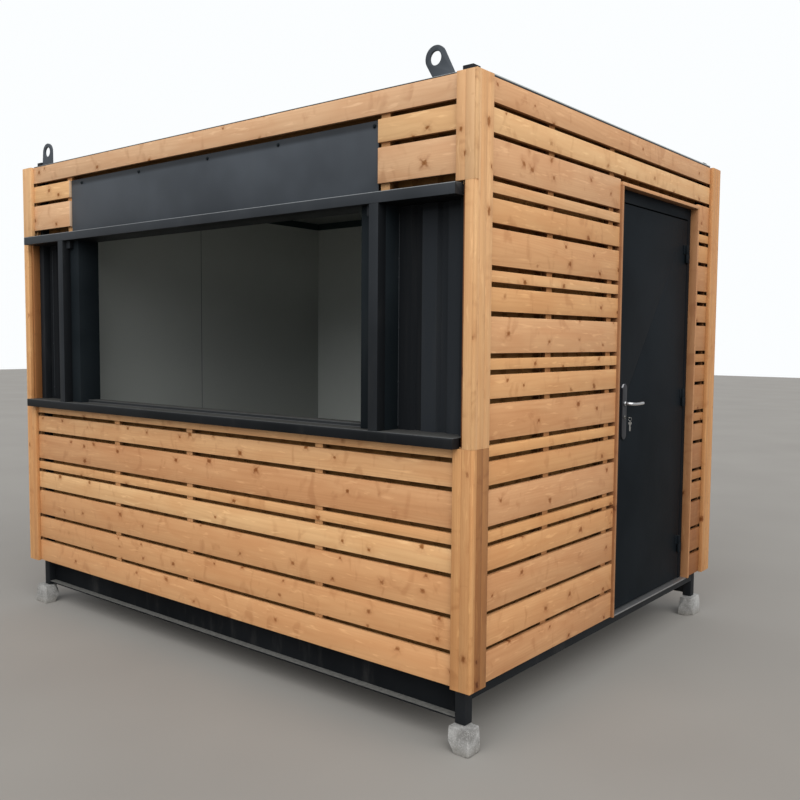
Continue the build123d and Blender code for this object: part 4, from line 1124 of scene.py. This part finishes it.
class KIOSK_OT_stage(bpy.types.Operator):
    """Make the floor, the light and the camera"""
    bl_idname = "kiosk.stage"
    bl_label = "Set stage"

    def execute(self, context):
        scene = context.scene
        floor_half, daylight, skylight = 40.0, (0.97, 0.99, 1.0, 1.0), (0.93, 0.96, 1.0, 1.0)
        bm = bmesh.new()
        bmesh.ops.create_grid(bm, x_segments=1, y_segments=1, size=floor_half)
        mesh = bpy.data.meshes.new("pale_floor")
        bm.to_mesh(mesh)
        bm.free()
        floor = bpy.data.objects.new("pale_floor", mesh)
        scene.collection.objects.link(floor)
        graph = Graph("pale_floor")
        mesh.materials.append(graph.finish(
            Base_Color=graph.blend(graph.cloud(graph.place(), 0.8), (0.24, 0.225, 0.205), (0.29, 0.275, 0.25)),
            Roughness=0.85))
        world = bpy.data.worlds.new("soft_sky")
        world.use_nodes = True
        tree = world.node_tree
        ambient = tree.nodes["Background"]
        ambient.inputs["Color"].default_value = skylight
        ambient.inputs["Strength"].default_value = 0.55
        plain = tree.nodes.new("ShaderNodeBackground")
        plain.inputs["Color"].default_value = daylight
        seen = tree.nodes.new("ShaderNodeLightPath")
        mixer = tree.nodes.new("ShaderNodeMixShader")
        tree.links.new(seen.outputs["Is Camera Ray"], mixer.inputs[0])
        tree.links.new(ambient.outputs[0], mixer.inputs[1])
        tree.links.new(plain.outputs[0], mixer.inputs[2])
        tree.links.new(mixer.outputs[0], tree.nodes["World Output"].inputs["Surface"])
        scene.world = world
        for name, strength, spread, direction in (
            ("sky_front", 2.0, 70.0, (-0.30, 0.85, -0.8)),
            ("sky_side", 1.7, 70.0, (-0.95, 0.25, -0.7)),
        ):
            lamp = bpy.data.lights.new(name, "SUN")
            lamp.energy = strength
            lamp.angle = math.radians(spread)
            made = bpy.data.objects.new(name, lamp)
            made.rotation_mode = "QUATERNION"
            made.rotation_quaternion = Vector(direction).to_track_quat("-Z", "Y")
            scene.collection.objects.link(made)
        view = scene.kiosk_view
        camera = bpy.data.objects.new("street_view", bpy.data.cameras.new("street_view"))
        heading, pitch, roll = (math.radians(value) for value in (view.heading, view.pitch, view.roll))
        camera.matrix_world = (
            Matrix.Translation(view.place) @ Matrix.Rotation(heading, 4, "Z")
            @ Matrix.Rotation(math.radians(90.0) + pitch, 4, "X") @ Matrix.Rotation(roll, 4, "Z"))
        camera.data.sensor_width = 36.0
        camera.data.lens = view.focal
        camera.data.clip_end = 100.0
        scene.collection.objects.link(camera)
        scene.camera = camera
        scene.view_settings.view_transform = "Standard"
        return {"FINISHED"}


class KIOSK_PT_sidebar(bpy.types.Panel):
    """Lists the kiosk's settings and steps"""
    bl_label = "Kiosk"
    bl_idname = "KIOSK_PT_sidebar"
    bl_space_type = "VIEW_3D"
    bl_region_type = "UI"
    bl_category = "Kiosk"

    def draw(self, context):
        for group in (context.scene.kiosk_timber, context.scene.kiosk_steel, context.scene.kiosk_view):
            box = self.layout.box()
            for key in group.__annotations__:
                box.prop(group, key)
        for step in STEPS:
            self.layout.operator(step.bl_idname)


STEPS = (
    KIOSK_OT_finishes, KIOSK_OT_stage, KIOSK_OT_cladding, KIOSK_OT_corner_boards, KIOSK_OT_hatch,
    KIOSK_OT_frame, KIOSK_OT_walls, KIOSK_OT_door, KIOSK_OT_furniture, KIOSK_OT_feet,
)
CLASSES = (KioskTimber, KioskSteel, KioskView, *STEPS, KIOSK_PT_sidebar)


def register():
    for kind in CLASSES:
        bpy.utils.register_class(kind)
    bpy.types.Scene.kiosk_timber = bpy.props.PointerProperty(type=KioskTimber)
    bpy.types.Scene.kiosk_steel = bpy.props.PointerProperty(type=KioskSteel)
    bpy.types.Scene.kiosk_view = bpy.props.PointerProperty(type=KioskView)


def unregister():
    del bpy.types.Scene.kiosk_view
    del bpy.types.Scene.kiosk_steel
    del bpy.types.Scene.kiosk_timber
    for kind in reversed(CLASSES):
        bpy.utils.unregister_class(kind)


def main():
    register()
    for made in list(bpy.data.objects):
        if made.name in ("Cube", "Light", "Camera"):
            bpy.data.objects.remove(made)
    bpy.ops.kiosk.finishes()
    bpy.ops.kiosk.stage()
    bpy.ops.kiosk.cladding()
    bpy.ops.kiosk.corner_boards()
    bpy.ops.kiosk.hatch()
    bpy.ops.kiosk.frame()
    bpy.ops.kiosk.walls()
    bpy.ops.kiosk.door()
    bpy.ops.kiosk.furniture()
    bpy.ops.kiosk.feet()


if __name__ == "__main__":
    main()
